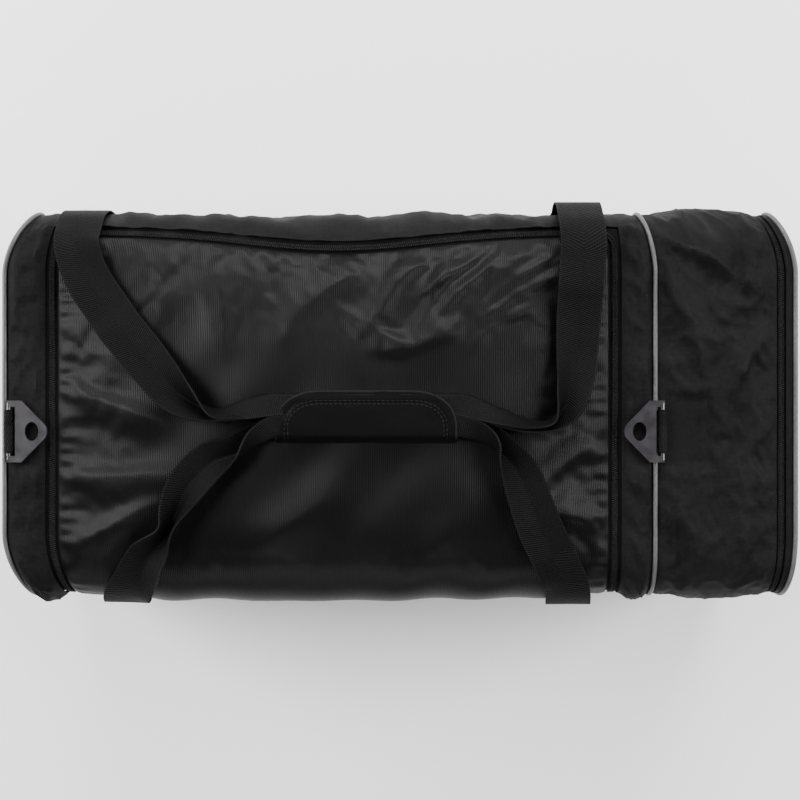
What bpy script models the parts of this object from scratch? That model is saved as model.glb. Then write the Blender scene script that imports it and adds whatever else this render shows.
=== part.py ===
"""A holdall-style tail bag: a soft box with a U-zipped lid, an end compartment with a zipped door,
two webbing handles joined in a wrap-round grip, and two moulded loops for a shoulder strap.

Metres, +Z up, +X towards the end compartment, +Y towards the lid's opening edge.
The origin is on the floor, under the middle of the bag.

Nearly every sewn piece lies on one surface: the bag's upright cross-section, a rounded rectangle,
drawn out along X. A place on that surface is (x, s), where s is the distance round the outline from
the middle of the base, rising at the front and coming down at the rear.
"""

import math

import bmesh
import bpy
from mathutils import Matrix, Vector

# Cross-section of the bag
BASE_Z = 0.003
HALF_WIDTH = 0.170
HEIGHT = 0.303
TOP_RADIUS = 0.036
BASE_RADIUS = 0.040
FLAT_BASE = HALF_WIDTH - BASE_RADIUS
FLAT_TOP = HALF_WIDTH - TOP_RADIUS
SIDE = HEIGHT - BASE_Z - TOP_RADIUS - BASE_RADIUS
BASE_ARC = BASE_RADIUS * math.pi / 2
TOP_ARC = TOP_RADIUS * math.pi / 2
S_SIDE = FLAT_BASE + BASE_ARC
S_TOP_ARC = S_SIDE + SIDE
S_TOP = S_TOP_ARC + TOP_ARC
S_MIDDLE = S_TOP + FLAT_TOP
PERIMETER = 2 * S_MIDDLE

# Places along the bag
LEFT_PIPING_X = -0.3475
MIDDLE_PIPING_X = 0.2245
RIGHT_PIPING_X = 0.3478
PIPING_RADIUS = 0.0022
PIPING_LIFT = 0.0008
SEAM_ROOM = 0.003
LID_ZIP_LEFT_X = -0.306
LID_ZIP_RIGHT_X = 0.189
END_ZIP_X = 0.3355

# Thicknesses and gaps
GAP = 0.0004
ARC_GAP = 0.0009
FABRIC = 0.003
TAPE = 0.0012
WEBBING = 0.002
BOARD = 0.003
BOARD_X = (-0.330, 0.212)
BOARD_HALF_WIDTH = 0.120

# Lid zip: half its width, half the coil's, and where its front run lies on the top front edge
ZIP_HALF = 0.009
COIL_HALF = 0.0018
COIL_HEIGHT = 0.0024
S_LID_ZIP = S_TOP - math.radians(30) * TOP_RADIUS
S_LID_HINGE = PERIMETER - S_TOP_ARC
LID_CROWN = 0.022

# End plates: the gap left for the piping, and how far each face lies inside its piping
PLATE_INSET = 0.0035
DIVIDER = 0.002
DIVIDER_INSET = 0.0045
LEFT_PLATE_OFFSET = 0.0013
DIVIDER_OFFSET = 0.0010
DOOR_PLATE_OFFSET = 0.0018

# End zip
END_ZIP_HALF = 0.006
S_END_ZIP_START = S_SIDE + 0.010

# Handles
WEBBING_WIDTH = 0.040
FOLDED_WIDTH = 0.018
CORE_HEIGHT = 0.004
LEG_SLACK = 0.0022
LOW_KNEE = 0.004
HIGH_KNEE = 0.013
KNEE_REACH = 0.034
KNEE_SPREAD = 0.026
KNEE_START = 0.06
LEG_CUT = 0.214
LEG_CUT_GAP = 0.003
LEG_SWEEP_X = 0.45
LEG_SWEEP_S = 0.62
LEG_LIFT_START = 0.55
LEG_LIFT_SPAN = 0.4
LEG_SLACK_RATE = 5
FRONT_ROOTS_X = (-0.280, 0.158)
REAR_ROOTS_X = (-0.245, 0.152)
S_TAIL_START = 0.150
S_ROOT = S_TOP_ARC - 0.004
GRIP_X = (-0.102, 0.045)
GRIP_REAR_Y = -0.029
GRIP_FRONT_Y = 0.011
FRONT_CORE_Y = 0.0005
REAR_CORE_Y = -0.0185
GRIP_INSET = 0.001
GRIP_CORNER = 0.026
GRIP_LAYER = 0.0025
GRIP_Z = HEIGHT + LID_CROWN + 0.0012

# Strap loops
LOOP_LENGTH = 0.034
LOOP_WIDTH = 0.054
LOOP_THICKNESS = 0.003
LOOP_BAR_RADIUS = 0.0018
LOOP_SLOT = 0.0075
LOOP_SLOT_WIDTH = 0.043
LOOP_LIFT = 0.0072
LOOP_HOLE = (0.0120, 0.0165)
LOOP_HOLE_FROM_TIP = 0.0135
LOOP_TIP_RADIUS = 0.010
LOOP_SHOULDER = (-0.0015, 0.004)
LOOP_BAR_INSET = 0.002
LOOP_ARM_OVERLAP = 0.0022
LOOP_ARM_SHIFT = 0.0003
LOOP_ARM_SHARE = 0.98
LOOP_BARS_X = (LEFT_PIPING_X + 0.0050, MIDDLE_PIPING_X + 0.0055)
LOOP_Y = -0.024
TAB_WIDTH = 0.038
TAB_THICKNESS = 0.0013

# Zip sliders: heights are above the zip's own surface
LID_SLIDERS_X = (0.148, 0.167)
END_SLIDER_RISE = 0.030
SLIDER_LENGTH = 0.013
SLIDER_WIDTH = 0.010
SLIDER_PLATE = 0.0015
BAIL_RADIUS = 0.0007
BAIL_SPAN = 0.008
BAIL_LEVEL = 0.0069
PULL_LEVEL = 0.0052
PULL_LENGTH = 0.024
PULL_WIDTH = 0.008
PULL_ARM = 0.0023
PULL_WINDOW = 0.0060
PULL_RIM = 0.0012
END_PULL_DROOP = math.radians(5)
LID_PULL_DROOP = math.radians(13)


def clear_scene():
    for obj in list(bpy.data.objects):
        bpy.data.objects.remove(obj)


def material(name, colour, roughness, metallic=0.0):
    made = bpy.data.materials.new(name)
    made.use_nodes = True
    shader = made.node_tree.nodes["Principled BSDF"]
    shader.inputs["Base Color"].default_value = (*colour, 1.0)
    shader.inputs["Roughness"].default_value = roughness
    shader.inputs["Metallic"].default_value = metallic
    return made


def outline(s):
    """The outline's point (y, z) and outward normal (ny, nz) at the distance s from the base's middle."""
    s = s % PERIMETER
    side = 1.0
    if s > S_MIDDLE:
        s = PERIMETER - s
        side = -1.0
    if s <= FLAT_BASE:
        y, z, ny, nz = s, BASE_Z, 0.0, -1.0
    elif s <= S_SIDE:
        turn = (s - FLAT_BASE) / BASE_RADIUS
        ny, nz = math.sin(turn), -math.cos(turn)
        y, z = FLAT_BASE + BASE_RADIUS * ny, BASE_Z + BASE_RADIUS * (1 + nz)
    elif s <= S_TOP_ARC:
        y, z, ny, nz = HALF_WIDTH, BASE_Z + BASE_RADIUS + s - S_SIDE, 1.0, 0.0
    elif s <= S_TOP:
        turn = (s - S_TOP_ARC) / TOP_RADIUS
        ny, nz = math.cos(turn), math.sin(turn)
        y, z = FLAT_TOP + TOP_RADIUS * ny, HEIGHT - TOP_RADIUS + TOP_RADIUS * nz
    else:
        y, z, ny, nz = FLAT_TOP - (s - S_TOP), HEIGHT, 0.0, 1.0
    return side * y, z, side * ny, nz


def spread(low, high, count):
    """count + 1 evenly spaced values from low to high."""
    return [low + (high - low) * i / count for i in range(count + 1)]


def steps_round(low, high):
    """Values of s from low to high, close together on the rounded corners only."""
    corners = [(FLAT_BASE, S_SIDE), (S_TOP_ARC, S_TOP)]
    corners += [(PERIMETER - b, PERIMETER - a) for a, b in corners]
    corners += [(a - PERIMETER, b - PERIMETER) for a, b in corners]
    found = {low, high}
    for a, b in corners:
        found |= {s for s in spread(a, b, 6) if low < s < high}
    return sorted(found)


def lid_crown(x, s):
    """How far the stuffed lid stands above the outline."""
    u = (x - LID_ZIP_LEFT_X - ZIP_HALF) / (LID_ZIP_RIGHT_X - LID_ZIP_LEFT_X - 2 * ZIP_HALF)
    v = (s - S_LID_ZIP - ZIP_HALF) / (S_LID_HINGE - S_LID_ZIP - ZIP_HALF)
    if not (0 < u < 1 and 0 < v < 1):
        return 0.0
    return LID_CROWN * (1 - (2 * u - 1) ** 4) * (1 - (2 * v - 1) ** 4)


def place(x, s, lift=0.0):
    y, z, ny, nz = outline(s)
    return Vector((x, y + ny * lift, z + nz * lift))


def add_object(name, mesh, paint, collection):
    obj = bpy.data.objects.new(name, mesh)
    obj.data.materials.append(paint)
    collection.objects.link(obj)
    return obj


def mesh_from(name, build):
    """A mesh that build(bm) has filled."""
    bm = bmesh.new()
    build(bm)
    mesh = bpy.data.meshes.new(name)
    bm.to_mesh(mesh)
    bm.free()
    return mesh


def solidify(obj, thickness, offset):
    shell = obj.modifiers.new("thickness", "SOLIDIFY")
    shell.thickness = thickness
    shell.offset = offset
    shell.use_even_offset = True
    return obj


def patch(name, xs, ss, thickness, paint, collection, lift=0.0, crown=None, holes=()):
    """A sewn piece on the bag's surface: the grid of xs by ss, without the cells (i, j) in holes."""

    def build(bm):
        grid = [
            [bm.verts.new(place(x, s, lift + (crown(x, s) if crown else 0.0))) for s in ss]
            for x in xs
        ]
        for i in range(len(xs) - 1):
            for j in range(len(ss) - 1):
                if (i, j) not in holes:
                    bm.faces.new((grid[i][j], grid[i][j + 1], grid[i + 1][j + 1], grid[i + 1][j]))
        loose = [v for v in bm.verts if not v.link_faces]
        bmesh.ops.delete(bm, geom=loose, context="VERTS")

    obj = add_object(name, mesh_from(name, build), paint, collection)
    return solidify(obj, thickness, -1.0)


def u_patch(name, x_outer, x_inner, s_outer, s_inner, thickness, paint, collection, lift=0.0):
    """A U on the surface: a leg between x_outer[k] and x_inner[k] on each side, to the lid's hinge,
    and a front run between s_outer and s_inner."""
    xs = sorted((*x_outer, *x_inner))
    ss = [s_outer, *steps_round(s_inner, S_LID_HINGE - GAP)]
    holes = {(1, j) for j in range(1, len(ss) - 1)}
    return patch(name, xs, ss, thickness, paint, collection, lift, holes=holes)


def body_panels(fabric, collection):
    """The sewn walls of the main compartment."""
    x_left = LEFT_PIPING_X + SEAM_ROOM + GAP
    x_right = MIDDLE_PIPING_X - SEAM_ROOM
    s_base = FLAT_BASE - GAP
    s_front = S_LID_ZIP - ZIP_HALF - ARC_GAP
    s_hinge = S_LID_HINGE + ARC_GAP
    patch("base_panel", [x_left, x_right], [-s_base, s_base], FABRIC, fabric, collection)
    patch(
        "front_panel", [x_left, x_right], steps_round(FLAT_BASE, S_TOP_ARC),
        FABRIC, fabric, collection,
    )
    patch(
        "rear_panel", [x_left, x_right], steps_round(s_hinge, PERIMETER - FLAT_BASE),
        FABRIC, fabric, collection,
    )
    side_steps = steps_round(S_TOP_ARC + ARC_GAP, S_LID_HINGE - GAP)
    left_strip = [x_left, LID_ZIP_LEFT_X - ZIP_HALF - GAP]
    right_strip = [LID_ZIP_RIGHT_X + ZIP_HALF + GAP, x_right]
    patch("top_strip_left", left_strip, side_steps, FABRIC, fabric, collection)
    patch("top_strip_right", right_strip, side_steps, FABRIC, fabric, collection)
    patch(
        "top_strip_front", [left_strip[1] + GAP, right_strip[0] - GAP],
        steps_round(S_TOP_ARC + ARC_GAP, s_front), FABRIC, fabric, collection,
    )


def lid_panel(fabric, collection):
    xs = spread(LID_ZIP_LEFT_X + ZIP_HALF + GAP, LID_ZIP_RIGHT_X - ZIP_HALF - GAP, 10)
    s_low = S_LID_ZIP + ZIP_HALF + ARC_GAP
    flat = spread(S_TOP, PERIMETER - S_TOP, 8)
    ss = sorted({*steps_round(s_low, S_LID_HINGE - GAP), *flat})
    patch("lid_panel", xs, ss, FABRIC, fabric, collection, crown=lid_crown)


def end_plate(name, x, thickness, inset, paint, collection):
    """A flat panel across the bag, its rim inset from the outline, from x towards +X."""

    def build(bm):
        ss = steps_round(0.0, PERIMETER)[:-1]
        bm.faces.new([bm.verts.new(place(x, s, -inset)) for s in reversed(ss)])

    obj = add_object(name, mesh_from(name, build), paint, collection)
    return solidify(obj, thickness, -1.0)


def piping(name, x, paint, collection):
    """A cord covered in tape, round the outline at x."""
    curve = bpy.data.curves.new(name, "CURVE")
    curve.dimensions = "3D"
    spline = curve.splines.new("POLY")
    ss = steps_round(0.0, PERIMETER)[:-1]
    spline.points.add(len(ss) - 1)
    for point, s in zip(spline.points, ss):
        at = place(x, s, PIPING_LIFT)
        point.co = (*at, 1.0)
    spline.use_cyclic_u = True
    curve.bevel_depth = PIPING_RADIUS
    curve.bevel_resolution = 1
    return add_object(name, curve, paint, collection)


def lid_zip(tape, coil, collection):
    """Both halves of the lid's zip: the bag's half outside the U, the lid's half inside it."""
    left, right, s = LID_ZIP_LEFT_X, LID_ZIP_RIGHT_X, S_LID_ZIP
    half_gap = GAP / 2
    for side, name in ((1, "bag"), (-1, "lid")):
        edge, teeth, middle = side * ZIP_HALF, side * COIL_HALF, side * half_gap
        rims = {
            "tape": (edge, teeth + side * GAP, TAPE, tape, 0.0),
            "coil": (teeth, middle, COIL_HEIGHT, coil, COIL_HEIGHT / 2),
        }
        for part, (far, near, thickness, paint, lift) in rims.items():
            outer, inner = (far, near) if side > 0 else (near, far)
            u_patch(
                f"lid_zip_{part}_{name}",
                (left - outer, right + outer), (left - inner, right + inner),
                s - outer, s - inner, thickness, paint, collection, lift,
            )


def end_zip(tape, coil, collection):
    """Both halves of the end door's zip, each a strip round the front, top and rear."""
    ss = steps_round(S_END_ZIP_START, PERIMETER - S_END_ZIP_START)
    for side, name in ((-1, "gusset"), (1, "door")):
        edge, teeth, middle = side * END_ZIP_HALF, side * COIL_HALF, side * GAP / 2
        rims = {
            "tape": (edge, teeth + side * GAP, TAPE, tape, 0.0),
            "coil": (teeth, middle, COIL_HEIGHT, coil, COIL_HEIGHT / 2),
        }
        for part, (far, near, thickness, paint, lift) in rims.items():
            xs = sorted((END_ZIP_X + far, END_ZIP_X + near))
            patch(f"end_zip_{part}_{name}", xs, ss, thickness, paint, collection, lift)


def end_compartment(fabric, collection):
    x_seam = MIDDLE_PIPING_X + SEAM_ROOM
    x_zip = END_ZIP_X - END_ZIP_HALF - GAP
    x_border = END_ZIP_X + END_ZIP_HALF + GAP
    x_door = RIGHT_PIPING_X - SEAM_ROOM + GAP
    s_low, s_high = S_END_ZIP_START, PERIMETER - S_END_ZIP_START
    patch("end_gusset", [x_seam, x_zip], steps_round(s_low, s_high), FABRIC, fabric, collection)
    patch(
        "end_gusset_base", [x_seam, x_door - 2 * GAP], steps_round(-s_low + GAP, s_low - GAP),
        FABRIC, fabric, collection,
    )
    patch(
        "end_door_border", [x_border, x_door], steps_round(s_low, s_high),
        FABRIC, fabric, collection,
    )
    x_plate = RIGHT_PIPING_X - DOOR_PLATE_OFFSET
    end_plate("end_door_panel", x_plate, FABRIC, PLATE_INSET, fabric, collection)


def handle_tails(webbing, collection):
    """The sewn ends of both handles, up the front and the rear panels."""
    half = WEBBING_WIDTH / 2
    sides = {
        "front": (FRONT_ROOTS_X, lambda s: s),
        "rear": (REAR_ROOTS_X, lambda s: PERIMETER - s),
    }
    for side, (roots, along) in sides.items():
        for label, x in zip(("left", "right"), roots):
            ends = sorted((along(S_TAIL_START), along(S_ROOT)))
            patch(
                f"{side}_handle_tail_{label}", [x - half, x + half], steps_round(*ends),
                WEBBING, webbing, collection, lift=WEBBING + GAP,
            )


def ease(t):
    return t * t * (3 - 2 * t)


def leg_stations(x_root, x_end, y_end, lift_end, knee_height):
    """(t, x, s, lift, width) along one leg of a handle, in the front half, from its root to the grip."""
    s_root, s_end = S_ROOT + ARC_GAP, S_MIDDLE - y_end
    reach = s_end - s_root
    stations = []
    riser_times = spread(0.0, LEG_CUT - LEG_CUT_GAP, 9)
    for t in (*riser_times, *spread(LEG_CUT + LEG_CUT_GAP, 1.0, 10)):
        # A cubic Bezier that leaves the root along s and meets the grip along x
        a, b, c, d = (1 - t) ** 3, 3 * t * (1 - t) ** 2, 3 * t * t * (1 - t), t ** 3
        x = (a + b) * x_root + c * (x_root + LEG_SWEEP_X * (x_end - x_root)) + d * x_end
        s = a * s_root + b * (s_root + LEG_SWEEP_S * reach) + (c + d) * s_end
        knee = knee_height * math.exp(-(((s - S_ROOT - KNEE_REACH) / KNEE_SPREAD) ** 2))
        knee *= ease(min(1.0, t / KNEE_START))
        rise = ease(min(1.0, max(0.0, (t - LEG_LIFT_START) / LEG_LIFT_SPAN)))
        lift = 2 * GAP + LEG_SLACK * ease(min(1.0, t * LEG_SLACK_RATE)) + knee
        lift = lift + (lift_end - lift) * rise
        width = WEBBING_WIDTH + (FOLDED_WIDTH - WEBBING_WIDTH) * rise
        stations.append((t, x, s, lift, width))
    return stations


def ribbon(name, stations, first, last, side, paint, collection):
    """Webbing draped on the bag along stations first to last; side is 1 on the front half, -1 on
    the rear."""

    def edge_points(k):
        _, x, s, lift, width = stations[k]
        before, after = stations[max(k - 1, 0)], stations[min(k + 1, len(stations) - 1)]
        run = Vector((after[1] - before[1], after[2] - before[2])).normalized()
        if k == 0:
            run = Vector((0.0, 1.0))
        across = Vector((-run.y, run.x)) * width / 2
        points = []
        for share in spread(-1.0, 1.0, 4):
            px, ps = x + share * across.x, s + share * across.y
            level = lift + lid_crown(px, ps if side > 0 else PERIMETER - ps)
            points.append(place(px, ps if side > 0 else PERIMETER - ps, level))
        return points

    def build(bm):
        rows = [[bm.verts.new(p) for p in edge_points(k)] for k in range(first, last)]
        for one, two in zip(rows, rows[1:]):
            for j in range(len(one) - 1):
                bm.faces.new((one[j], one[j + 1], two[j + 1], two[j]))
        bm.normal_update()
        top = max(bm.faces, key=lambda face: face.calc_center_median().z)
        if top.normal.z < 0:
            bmesh.ops.reverse_faces(bm, faces=bm.faces)

    obj = add_object(name, mesh_from(name, build), paint, collection)
    return solidify(obj, WEBBING, 1.0)


def box(name, low, high, paint, collection, bevel=0.0):
    size = Vector(high) - Vector(low)

    def build(bm):
        bmesh.ops.create_cube(bm, size=1.0)
        bmesh.ops.scale(bm, vec=size, verts=bm.verts)

    obj = add_object(name, mesh_from(name, build), paint, collection)
    obj.location = (Vector(low) + Vector(high)) / 2
    if bevel:
        rounding = obj.modifiers.new("edges", "BEVEL")
        rounding.width = bevel
        rounding.segments = 2
    return obj


def handles(webbing, collection):
    """The free webbing of both handles. Each has two risers over the bag's edge, two legs and a
    folded core, and bends where they meet."""
    core_low = GRIP_Z + GRIP_LAYER + GAP
    lift_end = core_low - HEIGHT - LID_CROWN + GAP
    sides = {
        "front": (1, FRONT_ROOTS_X, FRONT_CORE_Y),
        "rear": (-1, REAR_ROOTS_X, -REAR_CORE_Y),
    }
    for name, (side, roots, y_end) in sides.items():
        for label, root, end in zip(("left", "right"), roots, GRIP_X):
            outward = -1 if label == "left" else 1
            knee = HIGH_KNEE if (name, label) == ("front", "right") else LOW_KNEE
            stations = leg_stations(root, end + outward * 3 * GAP, y_end, lift_end, knee)
            cut = sum(1 for station in stations if station[0] < LEG_CUT)
            for piece, first, last in (("riser", 0, cut), ("leg", cut, len(stations))):
                piece_name = f"{name}_handle_{piece}_{label}"
                ribbon(piece_name, stations, first, last, side, webbing, collection)
        y = side * y_end
        box(
            f"{name}_handle_core",
            (GRIP_X[0], y - FOLDED_WIDTH / 2, core_low),
            (GRIP_X[1], y + FOLDED_WIDTH / 2, core_low + CORE_HEIGHT),
            webbing, collection,
        )


def grip_outline(y_low, y_high, corner):
    """The grip flap's shape from above: straight at the rear, round corners at its free edge."""
    x0, x1 = GRIP_X[0] + GRIP_INSET, GRIP_X[1] - GRIP_INSET
    points = [(x0, y_low), (x1, y_low)]
    for centre_x, first in ((x1 - corner, 0), (x0 + corner, 90)):
        for k in range(7):
            turn = math.radians(first + 15 * k)
            points.append(
                (centre_x + corner * math.cos(turn), y_high - corner + corner * math.sin(turn))
            )
    return points


def flat_plate(name, points, z_low, thickness, paint, collection):
    """A flat piece with this outline, counter-clockwise from above, standing on z_low."""

    def build(bm):
        bm.faces.new([bm.verts.new((x, y, z_low)) for x, y in points])

    obj = add_object(name, mesh_from(name, build), paint, collection)
    return solidify(obj, thickness, 1.0)


def grip(fabric, collection):
    """The wrap: a layer under both cores, and a flap that folds over them from the rear."""
    fold, front = GRIP_REAR_Y, GRIP_FRONT_Y - GRIP_INSET
    x0, x1 = GRIP_X[0] + GRIP_INSET, GRIP_X[1] - GRIP_INSET
    base = [(x0, fold), (x1, fold), (x1, front), (x0, front)]
    flat_plate("grip_wrap_base", base, GRIP_Z, GRIP_LAYER, fabric, collection)
    flap_z = GRIP_Z + GRIP_LAYER + CORE_HEIGHT + 3 * GAP
    shape = grip_outline(fold, GRIP_FRONT_Y, GRIP_CORNER)
    flat_plate("grip_wrap_flap", shape, flap_z, GRIP_LAYER, fabric, collection)


def loop_shape():
    """The strap loop from above, its bar at x = 0 and its rounded point towards +x."""
    half = LOOP_WIDTH / 2
    tip_x = LOOP_LENGTH - LOOP_TIP_RADIUS
    shoulder = [LOOP_SLOT + offset for offset in LOOP_SHOULDER]
    points = [(x, -half) for x in shoulder]
    for k in range(9):
        turn = math.radians(-52 + 13 * k)
        points.append(
            (tip_x + LOOP_TIP_RADIUS * math.cos(turn), LOOP_TIP_RADIUS * math.sin(turn))
        )
    points += [(x, half) for x in reversed(shoulder)]
    return points


def make_cutter(name, mesh, collection, matrix):
    cutter = bpy.data.objects.new(name, mesh)
    collection.objects.link(cutter)
    cutter.matrix_world = matrix
    cutter.hide_render = True
    cutter.display_type = "WIRE"
    return cutter


def boolean(obj, other, operation):
    cut = obj.modifiers.new(other.name, "BOOLEAN")
    cut.operation = operation
    cut.object = other


def strap_loop(name, x_bar, facing, paint, collection, helpers):
    """A moulded triangle with an oval hole, a webbing slot and a round bar; facing is the way it points."""
    z_bar = HEIGHT + LOOP_LIFT
    matrix = Matrix.Translation((x_bar, LOOP_Y, z_bar)) @ Matrix.Rotation(
        0.0 if facing > 0 else math.pi, 4, "Z"
    )
    half = LOOP_THICKNESS / 2

    def plate(bm):
        bottom = bm.faces.new([bm.verts.new((x, y, -half)) for x, y in loop_shape()])
        made = bmesh.ops.extrude_face_region(bm, geom=[bottom])
        top = [v for v in made["geom"] if isinstance(v, bmesh.types.BMVert)]
        bmesh.ops.translate(bm, vec=(0, 0, LOOP_THICKNESS), verts=top)
        bmesh.ops.recalc_face_normals(bm, faces=bm.faces)

    def hole(bm):
        bmesh.ops.create_cone(
            bm, cap_ends=True, segments=24, radius1=0.5, radius2=0.5, depth=4 * LOOP_THICKNESS
        )
        bmesh.ops.scale(bm, vec=(LOOP_HOLE[0], LOOP_HOLE[1], 1), verts=bm.verts)
        bmesh.ops.translate(bm, vec=(LOOP_LENGTH - LOOP_HOLE_FROM_TIP, 0, 0), verts=bm.verts)

    def arms(bm):
        for side in (-1, 1):
            made = bmesh.ops.create_cube(bm, size=1.0)["verts"]
            arm = (LOOP_WIDTH - LOOP_SLOT_WIDTH) / 2
            size = (LOOP_SLOT + LOOP_ARM_OVERLAP, arm, LOOP_THICKNESS * LOOP_ARM_SHARE)
            bmesh.ops.scale(bm, vec=size, verts=made)
            middle = side * (LOOP_WIDTH / 2 - arm / 2)
            bmesh.ops.translate(bm, vec=(LOOP_SLOT / 2 - LOOP_ARM_SHIFT, middle, 0), verts=made)

    def bar(bm):
        bmesh.ops.create_cone(
            bm, cap_ends=True, segments=12, radius1=LOOP_BAR_RADIUS, radius2=LOOP_BAR_RADIUS,
            depth=LOOP_WIDTH - 2 * LOOP_BAR_INSET, matrix=Matrix.Rotation(math.pi / 2, 4, "X"),
        )

    obj = add_object(name, mesh_from(name, plate), paint, collection)
    obj.matrix_world = matrix
    boolean(obj, make_cutter(f"{name}_arms", mesh_from("arms", arms), helpers, matrix), "UNION")
    boolean(obj, make_cutter(f"{name}_bar", mesh_from("bar", bar), helpers, matrix), "UNION")
    boolean(obj, make_cutter(f"{name}_hole", mesh_from("hole", hole), helpers, matrix), "DIFFERENCE")
    return obj


def loop_tab(name, x_bar, paint, collection):
    """The short webbing that wraps the loop's bar, with its two ends side by side into the seam."""
    z_bar = HEIGHT + LOOP_LIFT
    middle = LOOP_BAR_RADIUS + GAP + TAB_THICKNESS / 2
    half_stem = TAB_THICKNESS / 2 + GAP / 2
    foot = -LOOP_LIFT + GAP
    profile = [(half_stem, foot), (half_stem, -middle)]
    for k in range(11):
        turn = math.radians(-60 + 30 * k)
        profile.append((middle * math.cos(turn), middle * math.sin(turn)))
    profile += [(-half_stem, -middle), (-half_stem, foot)]

    def build(bm):
        rows = [
            [bm.verts.new((x_bar + x, LOOP_Y + side * TAB_WIDTH / 2, z_bar + z)) for side in (-1, 1)]
            for x, z in profile
        ]
        for one, two in zip(rows, rows[1:]):
            bm.faces.new((one[0], one[1], two[1], two[0]))

    obj = add_object(name, mesh_from(name, build), paint, collection)
    return solidify(obj, TAB_THICKNESS, 0.0)


def blocks(bm, sizes_and_places):
    """Boxes of the given sizes centred on the given places."""
    for size, at in sizes_and_places:
        made = bmesh.ops.create_cube(bm, size=1.0)["verts"]
        bmesh.ops.scale(bm, vec=size, verts=made)
        bmesh.ops.translate(bm, vec=at, verts=made)


def slider(name, matrix, bail_turn, paint, collection, helpers):
    """A zip slider's upper shell, and the bail that holds its pull, turned from the zip's line."""
    bail_matrix = matrix @ Matrix.Rotation(bail_turn, 4, "Z")
    plate_low = COIL_HEIGHT / 2 + GAP
    plate_high = plate_low + SLIDER_PLATE
    side = 2 * BAIL_RADIUS
    post = BAIL_LEVEL - plate_high + side
    post_z = plate_high + (post - side) / 2

    def plate(bm):
        blocks(bm, [((SLIDER_LENGTH, SLIDER_WIDTH, SLIDER_PLATE), (0, 0, (plate_low + plate_high) / 2))])

    def bail(bm):
        blocks(bm, [((BAIL_SPAN + side, side, side), (0, 0, BAIL_LEVEL))])

    def posts(bm):
        blocks(bm, [((side, side, post), (sign * BAIL_SPAN / 2, 0, post_z)) for sign in (-1, 1)])

    obj = add_object(name, mesh_from(name, plate), paint, collection)
    obj.matrix_world = matrix
    for label, build in (("posts", posts), ("bail", bail)):
        cutter = make_cutter(f"{name}_{label}", mesh_from(label, build), helpers, bail_matrix)
        boolean(obj, cutter, "UNION")


def pull(name, matrix, bail_turn, droop, paint, collection, helpers):
    """A pull tab whose window lets it swing round the bail. Its origin is on its pivot, in its rim."""
    pivot = matrix @ Matrix.Rotation(bail_turn, 4, "Z") @ Matrix.Translation((0, 0, PULL_LEVEL))
    axis = pivot @ Matrix.Rotation(-droop, 4, "Y")

    def slab(bm):
        middle = -(PULL_LENGTH - PULL_RIM) / 2
        blocks(bm, [((PULL_LENGTH, PULL_WIDTH, PULL_RIM), (middle, 0, 0))])

    def opening(bm):
        size = (PULL_WINDOW, PULL_WIDTH - 2 * PULL_ARM, 4 * PULL_RIM)
        blocks(bm, [(size, (-(PULL_RIM + PULL_WINDOW) / 2, 0, 0))])

    obj = add_object(name, mesh_from(name, slab), paint, collection)
    obj.matrix_world = axis
    cutter = make_cutter(f"{name}_window", mesh_from("window", opening), helpers, axis)
    boolean(obj, cutter, "DIFFERENCE")


def frame_at(x, s, along, outward):
    """A zip's local frame: x along it, z outward, with its origin on the bag's surface."""
    across = outward.cross(along)
    at = place(x, s)
    rows = zip(along, across, outward, at)
    return Matrix([*[list(row) for row in rows], [0, 0, 0, 1]])


def zip_hardware(metal, collection, helpers):
    """Two sliders meeting under the front handle's right riser, and one low on the end door's rear."""
    _, _, ny, nz = outline(S_LID_ZIP)
    lid_way, lid_out = Vector((1, 0, 0)), Vector((0, ny, nz))
    end_s = PERIMETER - S_SIDE - END_SLIDER_RISE
    places = {
        "end_zip": (END_ZIP_X, end_s, Vector((0, 0, 1)), Vector((0, -1, 0)), 0.0, END_PULL_DROOP),
    }
    for side, x in zip(("left", "right"), LID_SLIDERS_X):
        places[f"lid_zip_{side}"] = (x, S_LID_ZIP, lid_way, lid_out, -math.pi / 2, LID_PULL_DROOP)
    for name, (x, s, way, out, turn, droop) in places.items():
        frame = frame_at(x, s, way, out)
        slider(f"{name}_slider", frame, turn, metal, collection, helpers)
        pull(f"{name}_pull", frame, turn, droop, metal, collection, helpers)


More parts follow.
